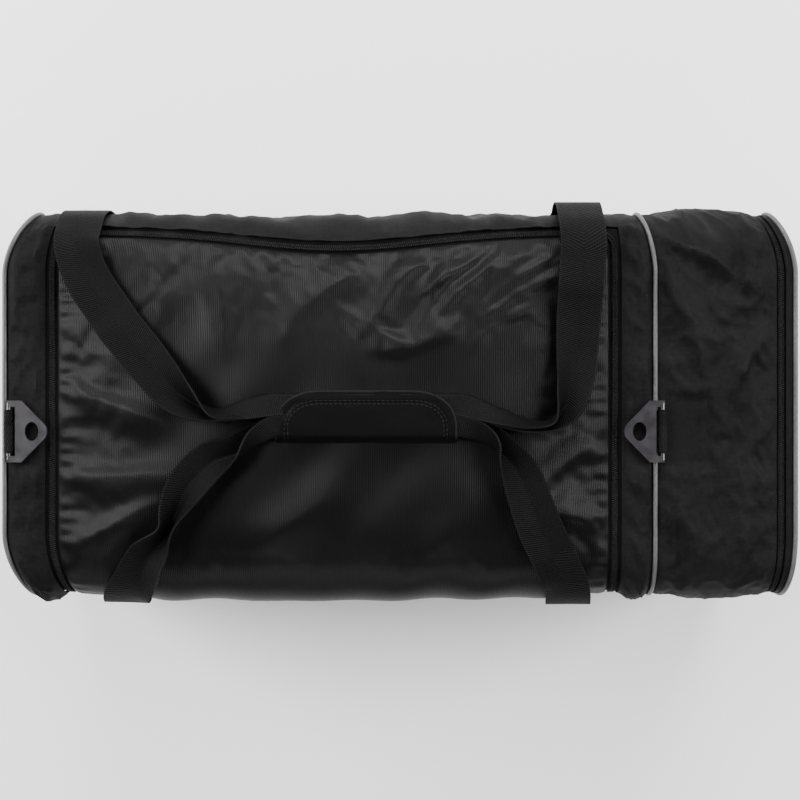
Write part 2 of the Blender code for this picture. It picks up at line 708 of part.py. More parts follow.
def main():
    clear_scene()
    scene = bpy.context.scene.collection
    parts = bpy.data.collections.new("tail_bag")
    helpers = bpy.data.collections.new("cutters")
    scene.children.link(parts)
    scene.children.link(helpers)

    body_fabric = material("body_fabric", (0.020, 0.020, 0.021), 0.75)
    lid_fabric = material("lid_fabric", (0.016, 0.016, 0.017), 0.50)
    webbing = material("webbing", (0.012, 0.012, 0.012), 0.70)
    zip_tape = material("zip_tape", (0.014, 0.014, 0.014), 0.80)
    zip_coil = material("zip_coil", (0.012, 0.012, 0.013), 0.40)
    piping_tape = material("piping", (0.300, 0.300, 0.300), 0.45)
    plastic = material("loop_plastic", (0.055, 0.052, 0.058), 0.40)
    metal = material("slider_metal", (0.030, 0.030, 0.032), 0.35, 1.0)
    board = material("board", (0.030, 0.030, 0.030), 0.60)

    body_panels(body_fabric, parts)
    lid_panel(lid_fabric, parts)
    x_left, x_divider = LEFT_PIPING_X - LEFT_PLATE_OFFSET, MIDDLE_PIPING_X - DIVIDER_OFFSET
    end_plate("left_end_panel", x_left, FABRIC, PLATE_INSET, body_fabric, parts)
    end_plate("divider_panel", x_divider, DIVIDER, DIVIDER_INSET, body_fabric, parts)
    end_compartment(body_fabric, parts)
    for name, x in (
        ("left_piping", LEFT_PIPING_X),
        ("middle_piping", MIDDLE_PIPING_X),
        ("right_piping", RIGHT_PIPING_X),
    ):
        piping(name, x, piping_tape, parts)
    board_low = BASE_Z + FABRIC + GAP
    box(
        "base_board", (BOARD_X[0], -BOARD_HALF_WIDTH, board_low),
        (BOARD_X[1], BOARD_HALF_WIDTH, board_low + BOARD), board, parts,
    )
    lid_zip(zip_tape, zip_coil, parts)
    end_zip(zip_tape, zip_coil, parts)
    handle_tails(webbing, parts)
    handles(webbing, parts)
    grip(body_fabric, parts)
    for name, x, facing in zip(("left", "right"), LOOP_BARS_X, (1, -1)):
        strap_loop(f"{name}_strap_loop", x, facing, plastic, parts, helpers)
        loop_tab(f"{name}_loop_tab", x, webbing, parts)
    zip_hardware(metal, parts, helpers)


main()
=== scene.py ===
"""The tail bag's looks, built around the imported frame.

Metres, in the frame's own axes: +X towards the end compartment, +Y towards the lid's opening edge.
Sewn pieces lie on the bag's surface, where a place is (x, s): s is the distance round the upright
cross-section from the middle of the base, rising at the front and coming down at the rear.
"""

import math

import bmesh
import bpy
import numpy as np
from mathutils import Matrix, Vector
from mathutils.bvhtree import BVHTree


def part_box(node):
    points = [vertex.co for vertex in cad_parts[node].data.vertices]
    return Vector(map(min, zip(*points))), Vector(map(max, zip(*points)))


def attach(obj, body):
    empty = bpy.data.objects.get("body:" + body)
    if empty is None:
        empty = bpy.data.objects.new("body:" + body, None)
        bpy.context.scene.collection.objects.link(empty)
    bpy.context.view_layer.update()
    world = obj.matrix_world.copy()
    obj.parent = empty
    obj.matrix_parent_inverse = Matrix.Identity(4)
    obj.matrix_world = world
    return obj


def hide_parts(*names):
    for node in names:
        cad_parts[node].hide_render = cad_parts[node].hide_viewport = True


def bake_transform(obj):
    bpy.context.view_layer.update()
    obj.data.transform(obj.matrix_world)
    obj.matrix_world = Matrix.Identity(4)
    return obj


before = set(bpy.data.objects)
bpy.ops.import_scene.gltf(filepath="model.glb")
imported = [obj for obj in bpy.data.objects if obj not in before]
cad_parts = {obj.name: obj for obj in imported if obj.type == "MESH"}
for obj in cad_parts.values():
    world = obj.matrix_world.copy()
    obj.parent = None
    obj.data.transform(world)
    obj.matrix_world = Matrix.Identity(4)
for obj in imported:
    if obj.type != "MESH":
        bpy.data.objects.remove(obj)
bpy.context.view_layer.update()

# Cross-section, as the frame has it
BASE_Z = 0.003
HALF_WIDTH = 0.170
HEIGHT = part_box("top_strip_left")[1].z
TOP_RADIUS = 0.036
BASE_RADIUS = 0.040
FLAT_BASE = HALF_WIDTH - BASE_RADIUS
FLAT_TOP = HALF_WIDTH - TOP_RADIUS
S_SIDE = FLAT_BASE + BASE_RADIUS * math.pi / 2
S_TOP_ARC = S_SIDE + HEIGHT - BASE_Z - TOP_RADIUS - BASE_RADIUS
S_TOP = S_TOP_ARC + TOP_RADIUS * math.pi / 2
S_MIDDLE = S_TOP + FLAT_TOP
PERIMETER = 2 * S_MIDDLE
S_LID_ZIP = S_TOP - math.radians(30) * TOP_RADIUS
S_LID_HINGE = PERIMETER - S_TOP_ARC

# Places along the bag
LEFT_X = -0.3475
MIDDLE_X = 0.2245
RIGHT_X = 0.3478
ZIP_LEFT_X = -0.306
ZIP_RIGHT_X = 0.189
END_ZIP_X = 0.3355
ZIP_HALF = 0.009
END_ZIP_HALF = 0.006
PIPING_RADIUS = 0.0021
LID_CROWN = 0.021

# Thicknesses
CLOTH_THICKNESS = 0.0016
LID_THICKNESS = 0.0014
END_THICKNESS = 0.0018
LINING_THICKNESS = 0.0014
TAPE_THICKNESS = 0.0009
FLAP_THICKNESS = 0.0030
GRIP_BASE_THICKNESS = 0.0022
TAB_THICKNESS = 0.0012
BINDING_RADIUS = 0.0012


# ---- surface of the bag


def outline(s):
    """Points (y, z) and outward normals (ny, nz) at the distances s round the cross-section."""
    s = np.asarray(s, float) % PERIMETER
    side = np.where(s > S_MIDDLE, -1.0, 1.0)
    s = np.where(s > S_MIDDLE, PERIMETER - s, s)
    low = np.clip((s - FLAT_BASE) / BASE_RADIUS, 0, math.pi / 2)
    high = np.clip((s - S_TOP_ARC) / TOP_RADIUS, 0, math.pi / 2)
    ny = np.where(s < S_TOP_ARC, np.sin(low), np.cos(high))
    nz = np.where(s < S_TOP_ARC, -np.cos(low), np.sin(high))
    y = np.where(s < S_TOP_ARC, np.minimum(s, FLAT_BASE) + BASE_RADIUS * np.sin(low), 0)
    y = np.where(s >= S_TOP_ARC, FLAT_TOP + TOP_RADIUS * np.cos(high) - np.maximum(0, s - S_TOP), y)
    rise = BASE_Z + BASE_RADIUS * (1 - np.cos(low)) + np.clip(s - S_SIDE, 0, S_TOP_ARC - S_SIDE)
    z = rise + TOP_RADIUS * np.sin(high)
    return side * y, z, side * ny, nz


def smooth(low, high, value):
    t = np.clip((value - low) / (high - low), 0, 1)
    return t * t * (3 - 2 * t)


def bell(distance, reach):
    """1 at no distance, falling smoothly towards 0 beyond the reach."""
    return np.exp(-((distance / reach) ** 2))


# How far each seam is drawn in towards the middle where it turns over the top edges, front and rear
TUCK_X = (LEFT_X, ZIP_LEFT_X, -0.20, ZIP_RIGHT_X, MIDDLE_X, END_ZIP_X, RIGHT_X)
TUCK_FRONT = (0.024, 0.008, 0.0, -0.002, -0.012, -0.016, -0.019)
TUCK_REAR = (0.022, 0.012, 0.0, 0.0, -0.001, -0.004, -0.006)
TUCK_OVER = 0.020
TUCK_BELOW = 0.090
BOW_X = -0.055
BOW_DEPTH = 0.016
BOW_REACH_X = 0.115
BOW_REACH_S = 0.030


def warp(x, s):
    """The bag's seams as stuffing and gravity leave them: (x, s) moved along the surface."""
    ring = s % PERIMETER
    rear = ring > S_MIDDLE
    turned = np.where(rear, PERIMETER - ring, ring)
    drawn = smooth(S_TOP + TUCK_OVER, S_TOP_ARC, turned)
    drawn = drawn * smooth(S_TOP_ARC - TUCK_BELOW, S_TOP_ARC, turned)
    tuck = np.where(rear, np.interp(x, TUCK_X, TUCK_REAR), np.interp(x, TUCK_X, TUCK_FRONT))
    bow = BOW_DEPTH * bell(x - BOW_X, BOW_REACH_X) * bell(s - S_LID_ZIP, BOW_REACH_S)
    return x + tuck * drawn, s + bow


def on_outline(x, s, lift=0.0):
    """World points at (x, s) on the plain outline, lifted along its normal."""
    x, s = np.broadcast_arrays(np.asarray(x, float), np.asarray(s, float))
    y, z, ny, nz = outline(s)
    return np.stack([x, y + ny * lift, z + nz * lift], -1)


def place(x, s, lift=0.0):
    """World points at (x, s) on the surface with its seams as warp leaves them."""
    x, s = np.broadcast_arrays(np.asarray(x, float), np.asarray(s, float))
    return on_outline(*warp(x, s), lift)


WAVE_COUNT = 14


def waves(x, y, size, seed):
    """Smooth random relief, about -1 to 1, with bumps about this size."""
    source = np.random.default_rng(seed)
    total = np.zeros(np.broadcast(x, y).shape)
    for _ in range(WAVE_COUNT):
        angle, phase = source.uniform(0, 2 * math.pi, 2)
        pitch = 2 * math.pi / (size * source.uniform(0.7, 1.8))
        total += np.sin(pitch * (x * math.cos(angle) + y * math.sin(angle)) + phase)
    return total / math.sqrt(WAVE_COUNT) / 1.4


def crumple(x, y, size, seed):
    """Sharp random creases, 0 to 1, between soft hollows of about this size."""
    broad = 1 - np.abs(waves(x, y, size, seed)) * 1.8
    fine = 1 - np.abs(waves(x, y, size * 0.55, seed + 1)) * 1.8
    return 0.65 * np.clip(broad, 0, 1) ** 1.5 + 0.35 * np.clip(fine, 0, 1) ** 1.5


# Shape of a crease, as shares of its width
FOLD_SKEW = 0.5
FOLD_WANDER = 0.25
FOLD_HOLLOW = 0.45
FOLD_HOLLOW_PLACE = 1.3


def fold(x, y, start, end, width, height):
    """A wandering ridge from start to end, steeper on one side, fading at both ends."""
    dx, dy = end[0] - start[0], end[1] - start[1]
    length = math.hypot(dx, dy)
    run = ((x - start[0]) * dx + (y - start[1]) * dy) / length
    across = (-(x - start[0]) * dy + (y - start[1]) * dx) / length
    across = across + FOLD_WANDER * width * np.sin(run / length * 5 + start[0] * 40)
    fade = smooth(-0.15 * length, 0.25 * length, run) * (1 - smooth(0.6 * length, 1.12 * length, run))
    reach = np.where(across > 0, width * FOLD_SKEW, width)
    hollow = FOLD_HOLLOW * bell(across + FOLD_HOLLOW_PLACE * width, reach)
    return height * fade * (bell(across, reach) - hollow)


# ---- materials


def new_material(name, colour, roughness, specular, metallic=0.0):
    made = bpy.data.materials.new(name)
    made.use_nodes = True
    tree = made.node_tree
    shader = tree.nodes["Principled BSDF"]
    shader.inputs["Roughness"].default_value = roughness
    shader.inputs["Metallic"].default_value = metallic
    shader.inputs["Specular IOR Level"].default_value = specular
    shader.inputs["Base Color"].default_value = (*colour, 1.0)
    return made, tree, shader


def link(tree, source, target):
    tree.links.new(source, target)


def math_node(tree, operation, *values):
    """A Math node's output; each value is a number or a socket."""
    node = tree.nodes.new("ShaderNodeMath")
    node.operation = operation
    for socket, value in zip(node.inputs, values):
        if isinstance(value, (int, float)):
            socket.default_value = value
        else:
            link(tree, value, socket)
    return node.outputs[0]


def coordinates(tree):
    """(u, v) of the piece's UV map, in metres of cloth."""
    source = tree.nodes.new("ShaderNodeUVMap")
    source.uv_map = "cloth"
    split = tree.nodes.new("ShaderNodeSeparateXYZ")
    link(tree, source.outputs["UV"], split.inputs[0])
    return source.outputs["UV"], split.outputs[0], split.outputs[1]


def ribs(tree, value, pitch):
    """A wave from 0 to 1 along a coordinate, with this pitch in metres."""
    turned = math_node(tree, "MULTIPLY", value, 2 * math.pi / pitch)
    return math_node(tree, "MULTIPLY_ADD", math_node(tree, "SINE", turned), 0.5, 0.5)


def noise(tree, vector, scale, detail=3.0, roughness=0.5):
    node = tree.nodes.new("ShaderNodeTexNoise")
    node.inputs["Scale"].default_value = scale
    node.inputs["Detail"].default_value = detail
    node.inputs["Roughness"].default_value = roughness
    link(tree, vector, node.inputs["Vector"])
    return node.outputs["Fac"]


def tint(tree, shader, factor, dark, light, low=0.3, high=0.7):
    ramp = tree.nodes.new("ShaderNodeValToRGB")
    ramp.color_ramp.elements[0].position = low
    ramp.color_ramp.elements[1].position = high
    ramp.color_ramp.elements[0].color = (*dark, 1.0)
    ramp.color_ramp.elements[1].color = (*light, 1.0)
    link(tree, factor, ramp.inputs["Fac"])
    link(tree, ramp.outputs["Color"], shader.inputs["Base Color"])


def bump(tree, shader, height, distance, strength=1.0):
    node = tree.nodes.new("ShaderNodeBump")
    node.inputs["Distance"].default_value = distance
    node.inputs["Strength"].default_value = strength
    link(tree, height, node.inputs["Height"])
    previous = shader.inputs["Normal"].links
    if previous:
        link(tree, previous[0].from_socket, node.inputs["Normal"])
    link(tree, node.outputs["Normal"], shader.inputs["Normal"])


def rough_range(tree, shader, factor, low, high):
    node = tree.nodes.new("ShaderNodeMapRange")
    node.inputs["To Min"].default_value = low
    node.inputs["To Max"].default_value = high
    link(tree, factor, node.inputs["Value"])
    link(tree, node.outputs["Result"], shader.inputs["Roughness"])


def woven(name, dark, light, roughness, weave, relief, specular):
    """Plain-woven cloth: crossed yarns, and slubs that vary its tone."""
    made, tree, shader = new_material(name, light, roughness, specular)
    uv, u, v = coordinates(tree)
    cloth = math_node(tree, "MULTIPLY", ribs(tree, u, weave), ribs(tree, v, weave))
    slub = noise(tree, uv, 260.0, 4.0, 0.65)
    blotch = noise(tree, uv, 14.0, 3.0)
    tone = math_node(tree, "MULTIPLY_ADD", slub, 0.6, math_node(tree, "MULTIPLY", blotch, 0.4))
    tint(tree, shader, tone, dark, light, 0.32, 0.68)
    bump(tree, shader, cloth, relief)
    bump(tree, shader, slub, relief * 1.5, 0.6)
    rough_range(tree, shader, slub, roughness - 0.08, roughness + 0.08)
    return made


def ribbed_nylon(name, dark, light, roughness, pitch, relief, specular):
    """Shiny coated nylon whose fine ribs run across the bag."""
    made, tree, shader = new_material(name, light, roughness, specular)
    uv, u, _ = coordinates(tree)
    drift = noise(tree, uv, 9.0, 2.0)
    grain = noise(tree, uv, 420.0, 2.0)
    tint(tree, shader, drift, dark, light)
    bump(tree, shader, ribs(tree, u, pitch), relief)
    bump(tree, shader, grain, relief * 0.8, 0.5)
    rough_range(tree, shader, drift, roughness - 0.05, roughness + 0.06)
    return made


WARP_PITCH = 0.0021
CHEVRON_LEAN = 0.35


def webbing_material(name, dark, light, roughness, pitch, half_width, specular):
    """Heavy webbing: cross ribs along its length, chevrons across it, and a lighter edge."""
    made, tree, shader = new_material(name, light, roughness, specular)
    uv, u, v = coordinates(tree)
    slant = math_node(tree, "ABSOLUTE", u)
    cross = ribs(tree, math_node(tree, "MULTIPLY_ADD", slant, CHEVRON_LEAN, v), pitch)
    both = math_node(tree, "MULTIPLY_ADD", ribs(tree, u, WARP_PITCH), 0.35, cross)
    fuzz = noise(tree, uv, 600.0, 3.0)
    edge = math_node(tree, "GREATER_THAN", slant, half_width * 0.93)
    tone = math_node(tree, "MULTIPLY_ADD", cross, 0.55, math_node(tree, "MULTIPLY", fuzz, 0.3))
    tone = math_node(tree, "MULTIPLY_ADD", edge, 0.3, tone)
    tint(tree, shader, tone, dark, light, 0.2, 0.95)
    bump(tree, shader, both, 0.00035)
    bump(tree, shader, fuzz, 0.00012, 0.6)
    return made


def moulded(name, dark, light, roughness, coat=0.0, metallic=0.0):
    """Moulded or enamelled surface with fine texture and worn tone."""
    made, tree, shader = new_material(name, light, roughness, 0.15 + 0.5 * coat, metallic)
    source = tree.nodes.new("ShaderNodeTexCoord")
    coarse = noise(tree, source.outputs["Object"], 90.0, 3.0)
    fine = noise(tree, source.outputs["Object"], 900.0, 2.0)
    tint(tree, shader, coarse, dark, light)
    bump(tree, shader, fine, 0.00004, 0.6)
    rough_range(tree, shader, coarse, roughness - 0.06, roughness + 0.08)
    shader.inputs["Coat Weight"].default_value = coat
    shader.inputs["Coat Roughness"].default_value = 0.25
    return made


def grey(value):
    return (value, value, value)


FABRIC = woven("body cloth", grey(0.0007), grey(0.0066), 0.60, 0.0011, 0.00026, 0.08)
LINING = woven("lining", grey(0.004), grey(0.008), 0.8, 0.0007, 0.0001, 0.08)
NYLON = ribbed_nylon("lid nylon", grey(0.0004), grey(0.0012), 0.44, 0.0016, 0.00014, 0.12)
WEBBING = webbing_material("webbing", grey(0.0003), grey(0.0058), 0.62, 0.00185, 0.020, 0.07)
TAPE = woven("zip tape", grey(0.0012), grey(0.0040), 0.8, 0.0008, 0.00012, 0.06)
GRIP = woven("grip cloth", grey(0.0006), grey(0.0026), 0.74, 0.0009, 0.00020, 0.05)
BINDING = woven("binding tape", grey(0.003), grey(0.009), 0.7, 0.0006, 0.0001, 0.1)
THREAD = moulded("thread", grey(0.003), grey(0.008), 0.6)
COIL = moulded("zip coil", grey(0.0015), grey(0.004), 0.38)
PIPING = woven("piping tape", grey(0.030), grey(0.072), 0.42, 0.0010, 0.00008, 0.4)
PLASTIC = moulded("loop plastic", (0.012, 0.011, 0.013), (0.026, 0.024, 0.028), 0.30, 0.6)
METAL = moulded("slider metal", grey(0.020), grey(0.045), 0.34, 0.3, 0.9)
BOARD = moulded("board", grey(0.020), grey(0.035), 0.6)


# ---- making pieces


def mark(nodes):
    if nodes:
        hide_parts(*nodes)


def finish_piece(obj, body, nodes=()):
    """The piece moves with one body."""
    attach(obj, body)
    mark(nodes)


def blend_piece(obj, nodes):
    """The piece's placement baked into its mesh; the nodes that it replaces are hidden."""
    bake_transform(obj)
    mark(nodes)


def object_from(name, bm, material):
    """The bmesh as an object in the scene; the bmesh is freed."""
    mesh = bpy.data.meshes.new(name)
    bm.to_mesh(mesh)
    bm.free()
    mesh.materials.append(material)
    obj = bpy.data.objects.new(name, mesh)
    bpy.context.scene.collection.objects.link(obj)
    return obj


def grid_mesh(name, points, uvs, material):
    """A quad mesh over an array of points (rows, columns, 3)."""
    rows, columns = points.shape[:2]
    bm = bmesh.new()
    verts = [[bm.verts.new(points[i, j]) for j in range(columns)] for i in range(rows)]
    layer = bm.loops.layers.uv.new("cloth")
    for i in range(rows - 1):
        for j in range(columns - 1):
            corners = ((i, j), (i, j + 1), (i + 1, j + 1), (i + 1, j))
            face = bm.faces.new([verts[a][b] for a, b in corners])
            face.smooth = True
            for loop, (a, b) in zip(face.loops, corners):
                loop[layer].uv = uvs[a, b]
    return object_from(name, bm, material)


SHARP_ANGLE = math.radians(55)


def thicken(obj, thickness, offset=-1.0):
    """The sheet given a thickness behind its face, or about its middle with an offset of 0."""
    shell = obj.modifiers.new("thickness", "SOLIDIFY")
    shell.thickness = thickness
    shell.offset = offset
    graph = bpy.context.evaluated_depsgraph_get()
    mesh = bpy.data.meshes.new_from_object(obj.evaluated_get(graph))
    obj.modifiers.clear()
    obj.data = mesh
    for polygon in mesh.polygons:
        polygon.use_smooth = True
    mesh.set_sharp_from_angle(angle=SHARP_ANGLE)
    return obj


def along(low, high, step):
    return np.linspace(low, high, max(2, int(math.ceil((high - low) / step)) + 1))


def surface_grid(x_range, s_range, x_step, s_step):
    return np.meshgrid(along(*x_range, x_step), along(*s_range, s_step), indexing="ij")


def sheet_mesh(name, x, s, points, material, thickness):
    """A thick sheet over a grid of places on the bag."""
    return thicken(grid_mesh(name, points, np.stack([x, s], -1), material), thickness)


def cloth_patch(name, x_range, s_range, relief, step):
    """A sewn panel of the body's cloth on the bag's surface. relief(x, s) lifts it."""
    x, s = surface_grid(x_range, s_range, step, step)
    return sheet_mesh(name, x, s, place(x, s, relief(x, s)), FABRIC, CLOTH_THICKNESS)


def edge_share(value, low, high, reach):
    """0 at low and high, 1 further in than reach."""
    return smooth(0, reach, value - low) * smooth(0, reach, high - value)


def soft_relief(x_range, s_range, height, size, seed, bulge=0.0, reach=0.02):
    """Slack cloth held at its rim: random soft waves, and a bulge in the middle."""

    def relief(x, s):
        rim = edge_share(x, *x_range, reach) * edge_share(s, *s_range, reach)
        u = (x - x_range[0]) / (x_range[1] - x_range[0])
        v = (s - s_range[0]) / (s_range[1] - s_range[0])
        full = (1 - (2 * u - 1) ** 4) * (1 - (2 * v - 1) ** 4)
        return rim * height * waves(x, s, size, seed) + bulge * np.clip(full, 0, 1)

    return relief


def running_length(points):
    return np.concatenate([[0], np.cumsum(np.linalg.norm(np.diff(points, axis=0), axis=1))])


def read_along(points, lengths, places):
    """The line of points read at these distances along it."""
    return np.stack([np.interp(places, lengths, column) for column in points.T], -1)


def unit(vectors):
    return vectors / np.linalg.norm(vectors, axis=-1, keepdims=True)


def skin(bm, rings, flat=None):
    """Faces between rings of points and over both ends; the face numbered flat isn't smooth."""
    verts = [[bm.verts.new(point) for point in ring] for ring in rings]
    count = len(verts[0])
    for one, two in zip(verts, verts[1:]):
        for j in range(count):
            n = (j + 1) % count
            bm.faces.new((one[j], one[n], two[n], two[j])).smooth = j != flat
    bm.faces.new(verts[0])
    bm.faces.new(verts[-1][::-1])


def tube(name, points, radius, material, closed=False, sides=8):
    """A round cord through the points."""
    count = len(points)
    if closed:
        run = np.roll(points, -1, 0) - np.roll(points, 1, 0)
    else:
        run = np.vstack([points[1:], points[-1:]]) - np.vstack([points[:1], points[:-1]])
    run = unit(run)
    guide = np.where(np.abs(run[:, :1]) > 0.9, (0.0, 0.0, 1.0), (1.0, 0.0, 0.0))
    one = unit(np.cross(run, guide))
    two = np.cross(run, one)
    turns = np.linspace(0, 2 * math.pi, sides, endpoint=False)
    length = running_length(points)
    wrap = 2 * math.pi * radius
    bm = bmesh.new()
    layer = bm.loops.layers.uv.new("cloth")
    rings = []
    for k in range(count):
        circle = np.outer(np.cos(turns), one[k]) + np.outer(np.sin(turns), two[k])
        rings.append([bm.verts.new(p) for p in points[k] + radius * circle])
    for i in range(count if closed else count - 1):
        k = (i + 1) % count
        stretch = (length[i], length[i] + (length[k] - length[i] if k else radius))
        for j in range(sides):
            n = (j + 1) % sides
            face = bm.faces.new((rings[i][j], rings[k][j], rings[k][n], rings[i][n]))
            face.smooth = True
            around = (j / sides * wrap, (j + 1) / sides * wrap)
            for loop, (a, b) in zip(face.loops, ((0, 0), (0, 1), (1, 1), (1, 0))):
                loop[layer].uv = (around[a], stretch[b])
    if not closed:
        bm.faces.new(rings[0])
        bm.faces.new(rings[-1][::-1])
    bmesh.ops.recalc_face_normals(bm, faces=bm.faces)
    return object_from(name, bm, material)


CLOTH_SETTINGS = {
    "quality": 5,
    "mass": 0.25,
    "tension_stiffness": 18,
    "compression_stiffness": 18,
    "shear_stiffness": 8,
    "bending_stiffness": 0.35,
    "air_damping": 6,
    "use_pressure": True,
    "vertex_group_mass": "sewn",
}


def slack_cloth(x_range, s_range, crown, slack, pressure, cap, step=0.0055, frames=26):
    """How a slack sheet sewn down all round settles: displacements on a coarse grid over (x, s)."""
    xs, ss = along(*x_range, step), along(*s_range, step)
    x, s = np.meshgrid(xs, ss, indexing="ij")
    start = place(x, s, crown(x, s))
    jitter = 0.0004 * waves(x, s, 0.012, 3)[..., None] * np.array([0.3, 0.3, 1.0])
    sheet = grid_mesh("settling", start + jitter, np.stack([x, s], -1), NYLON)
    inside = np.zeros(x.shape, bool)
    inside[1:-1, 1:-1] = True
    rim = np.flatnonzero(~inside).tolist()
    sheet.vertex_groups.new(name="sewn").add(rim, 1.0, "REPLACE")
    cloth = sheet.modifiers.new("cloth", "CLOTH")
    for setting, value in CLOTH_SETTINGS.items():
        setattr(cloth.settings, setting, value)
    cloth.settings.shrink_min = -slack
    cloth.settings.uniform_pressure_force = pressure
    cloth.settings.effector_weights.gravity = 0
    cloth.collision_settings.use_collision = False
    scene = bpy.context.scene
    for number in range(1, frames + 1):
        scene.frame_set(number)
    graph = bpy.context.evaluated_depsgraph_get()
    settled = np.empty(len(sheet.data.vertices) * 3)
    sheet.evaluated_get(graph).data.vertices.foreach_get("co", settled)
    scene.frame_set(1)
    moved = settled.reshape(start.shape) - start
    bpy.data.objects.remove(sheet)
    size = np.linalg.norm(moved, axis=-1, keepdims=True)
    return xs, ss, moved * np.minimum(1, cap / np.maximum(size, 1e-9))


def sample(field, x, s):
    """A slack_cloth result read at (x, s), bilinearly."""
    xs, ss, moved = field
    i = np.clip((x - xs[0]) / (xs[1] - xs[0]), 0, len(xs) - 1.001)
    j = np.clip((s - ss[0]) / (ss[1] - ss[0]), 0, len(ss) - 1.001)
    a, b = i.astype(int), j.astype(int)
    u, v = (i - a)[..., None], (j - b)[..., None]
    left = moved[a, b] * (1 - v) + moved[a, b + 1] * v
    right = moved[a + 1, b] * (1 - v) + moved[a + 1, b + 1] * v
    return left * (1 - u) + right * u


# ---- sewn shell

SEAM = 0.0024
ZIP_LAP = 0.003
END_ZIP_LAP = 0.002
FRONT_EDGE = S_LID_ZIP - ZIP_HALF + ZIP_LAP
REAR_SEAM = S_LID_HINGE + 0.022
SEAM_OVERLAP = 0.006
TUCKED_UNDER = 0.0022
S_END_START = S_SIDE + 0.010


def top_y(s):
    """Where the distance s lies across the flat top; it runs on past the edges."""
    return S_MIDDLE - s


def add_creases(relief, x, s, creases, rim):
    """The relief with creases (start, end, width, height) in it, each held down at the rim."""
    for crease in creases:
        relief = relief + rim * fold(x, top_y(s), *crease)
    return relief


def loop_room(x, s):
    """1 under the places where a strap loop lies, on either side of its bar, and 0 away from them."""
    room = np.zeros(np.broadcast(x, s).shape)
    for label in ("left", "right"):
        low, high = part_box(f"{label}_strap_loop")
        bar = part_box(f"{label}_loop_tab")
        middle_x = (bar[0].x + bar[1].x) / 2
        reach = max(middle_x - low.x, high.x - middle_x)
        middle_y, half = (low.y + high.y) / 2, (high.y - low.y) / 2
        over_x = 1 - smooth(reach + 0.002, reach + 0.012, np.abs(x - middle_x))
        over_y = 1 - smooth(half, half + 0.012, np.abs(top_y(s) - middle_y))
        room = np.maximum(room, over_x * over_y)
    return room


def kept_low(loose, x, s, low, high):
    """Relief held between low and high where a strap loop lies."""
    near_loop = loop_room(x, s)
    return loose * (1 - near_loop) + near_loop * np.clip(loose, low, high)


def wrap_relief(x_range, s_range):
    """The main panel: sagging sides, gathers near the top edges, its rear end under the strips."""
    soft = soft_relief(x_range, s_range, height=0.0030, size=0.085, seed=11, reach=0.03)

    def relief(x, s):
        under = smooth(FLAT_BASE + 0.01, S_SIDE + 0.04, np.abs(s))
        worn = edge_share(x, *x_range, 0.02) * 0.0016 * crumple(x, s, 0.060, 13)
        sag = 0.004 * bell(np.abs(s) - S_SIDE - 0.05, 0.06)
        rim = edge_share(x, *x_range, 0.05)
        gather = 0.0012 * waves(x * 3, s, 0.05, 5) * smooth(S_TOP_ARC - 0.09, S_TOP_ARC, np.abs(s))
        tucked = TUCKED_UNDER * (1 - smooth(0, 2 * SEAM_OVERLAP, s - s_range[0]))
        return under * (soft(x, s) + sag * rim + gather * rim + worn) - tucked

    return relief


def strip_relief(x_range, s_range, seed, lean):
    """A strip beside the lid: swollen, most of all towards the side that lean gives, and crumpled."""
    soft = soft_relief(x_range, s_range, 0.0016, 0.030, seed, bulge=0.0016, reach=0.008)

    def relief(x, s):
        rim = edge_share(x, *x_range, 0.008)
        across = np.clip((x - x_range[0]) / (x_range[1] - x_range[0]), 0, 1)
        swell = 0.0042 * np.sin(math.pi * across**lean) * (1 + 0.5 * waves(x, s, 0.09, seed + 2))
        worn = rim * 0.0026 * crumple(x * 1.8, s * 0.8, 0.030, seed + 5)
        return kept_low(soft(x, s) + swell + worn, x, s, 0.0, 0.0030)

    return relief


def body_cloth():
    x_range = (LEFT_X + SEAM, MIDDLE_X - SEAM)
    s_range = (REAR_SEAM - SEAM_OVERLAP - PERIMETER, FRONT_EDGE)
    wrap = cloth_patch("main_wrap", x_range, s_range, wrap_relief(x_range, s_range), 0.0045)
    finish_piece(
        wrap, "bag", ("base_panel", "front_panel", "rear_panel", "top_strip_front")
    )
    pieces = [wrap]
    s_range = (FRONT_EDGE, REAR_SEAM)
    for side, x_low, x_high, seed, lean in (
        ("left", LEFT_X + SEAM, ZIP_LEFT_X - ZIP_HALF + ZIP_LAP, 21, 0.6),
        ("right", ZIP_RIGHT_X + ZIP_HALF - ZIP_LAP, MIDDLE_X - SEAM, 22, 1.7),
    ):
        relief = strip_relief((x_low, x_high), s_range, seed, lean)
        piece = cloth_patch(f"side_strip_{side}", (x_low, x_high), s_range, relief, 0.0024)
        finish_piece(piece, "bag", (f"top_strip_{side}",))
        pieces.append(piece)
    return pieces


GUSSET_CREASES = (  # start, end, width, height
    ((0.228, 0.150), (0.318, 0.100), 0.008, 0.0046),
    ((0.228, 0.128), (0.274, 0.016), 0.014, 0.0050),
    ((0.325, 0.146), (0.290, 0.092), 0.008, 0.0040),
    ((0.322, 0.060), (0.280, 0.010), 0.010, 0.0030),
    ((0.300, 0.040), (0.276, -0.050), 0.011, 0.0032),
    ((0.262, -0.040), (0.246, -0.110), 0.009, 0.0026),
    ((0.306, -0.030), (0.300, -0.140), 0.011, 0.0030),
    ((0.240, -0.090), (0.270, -0.150), 0.010, 0.0026),
)


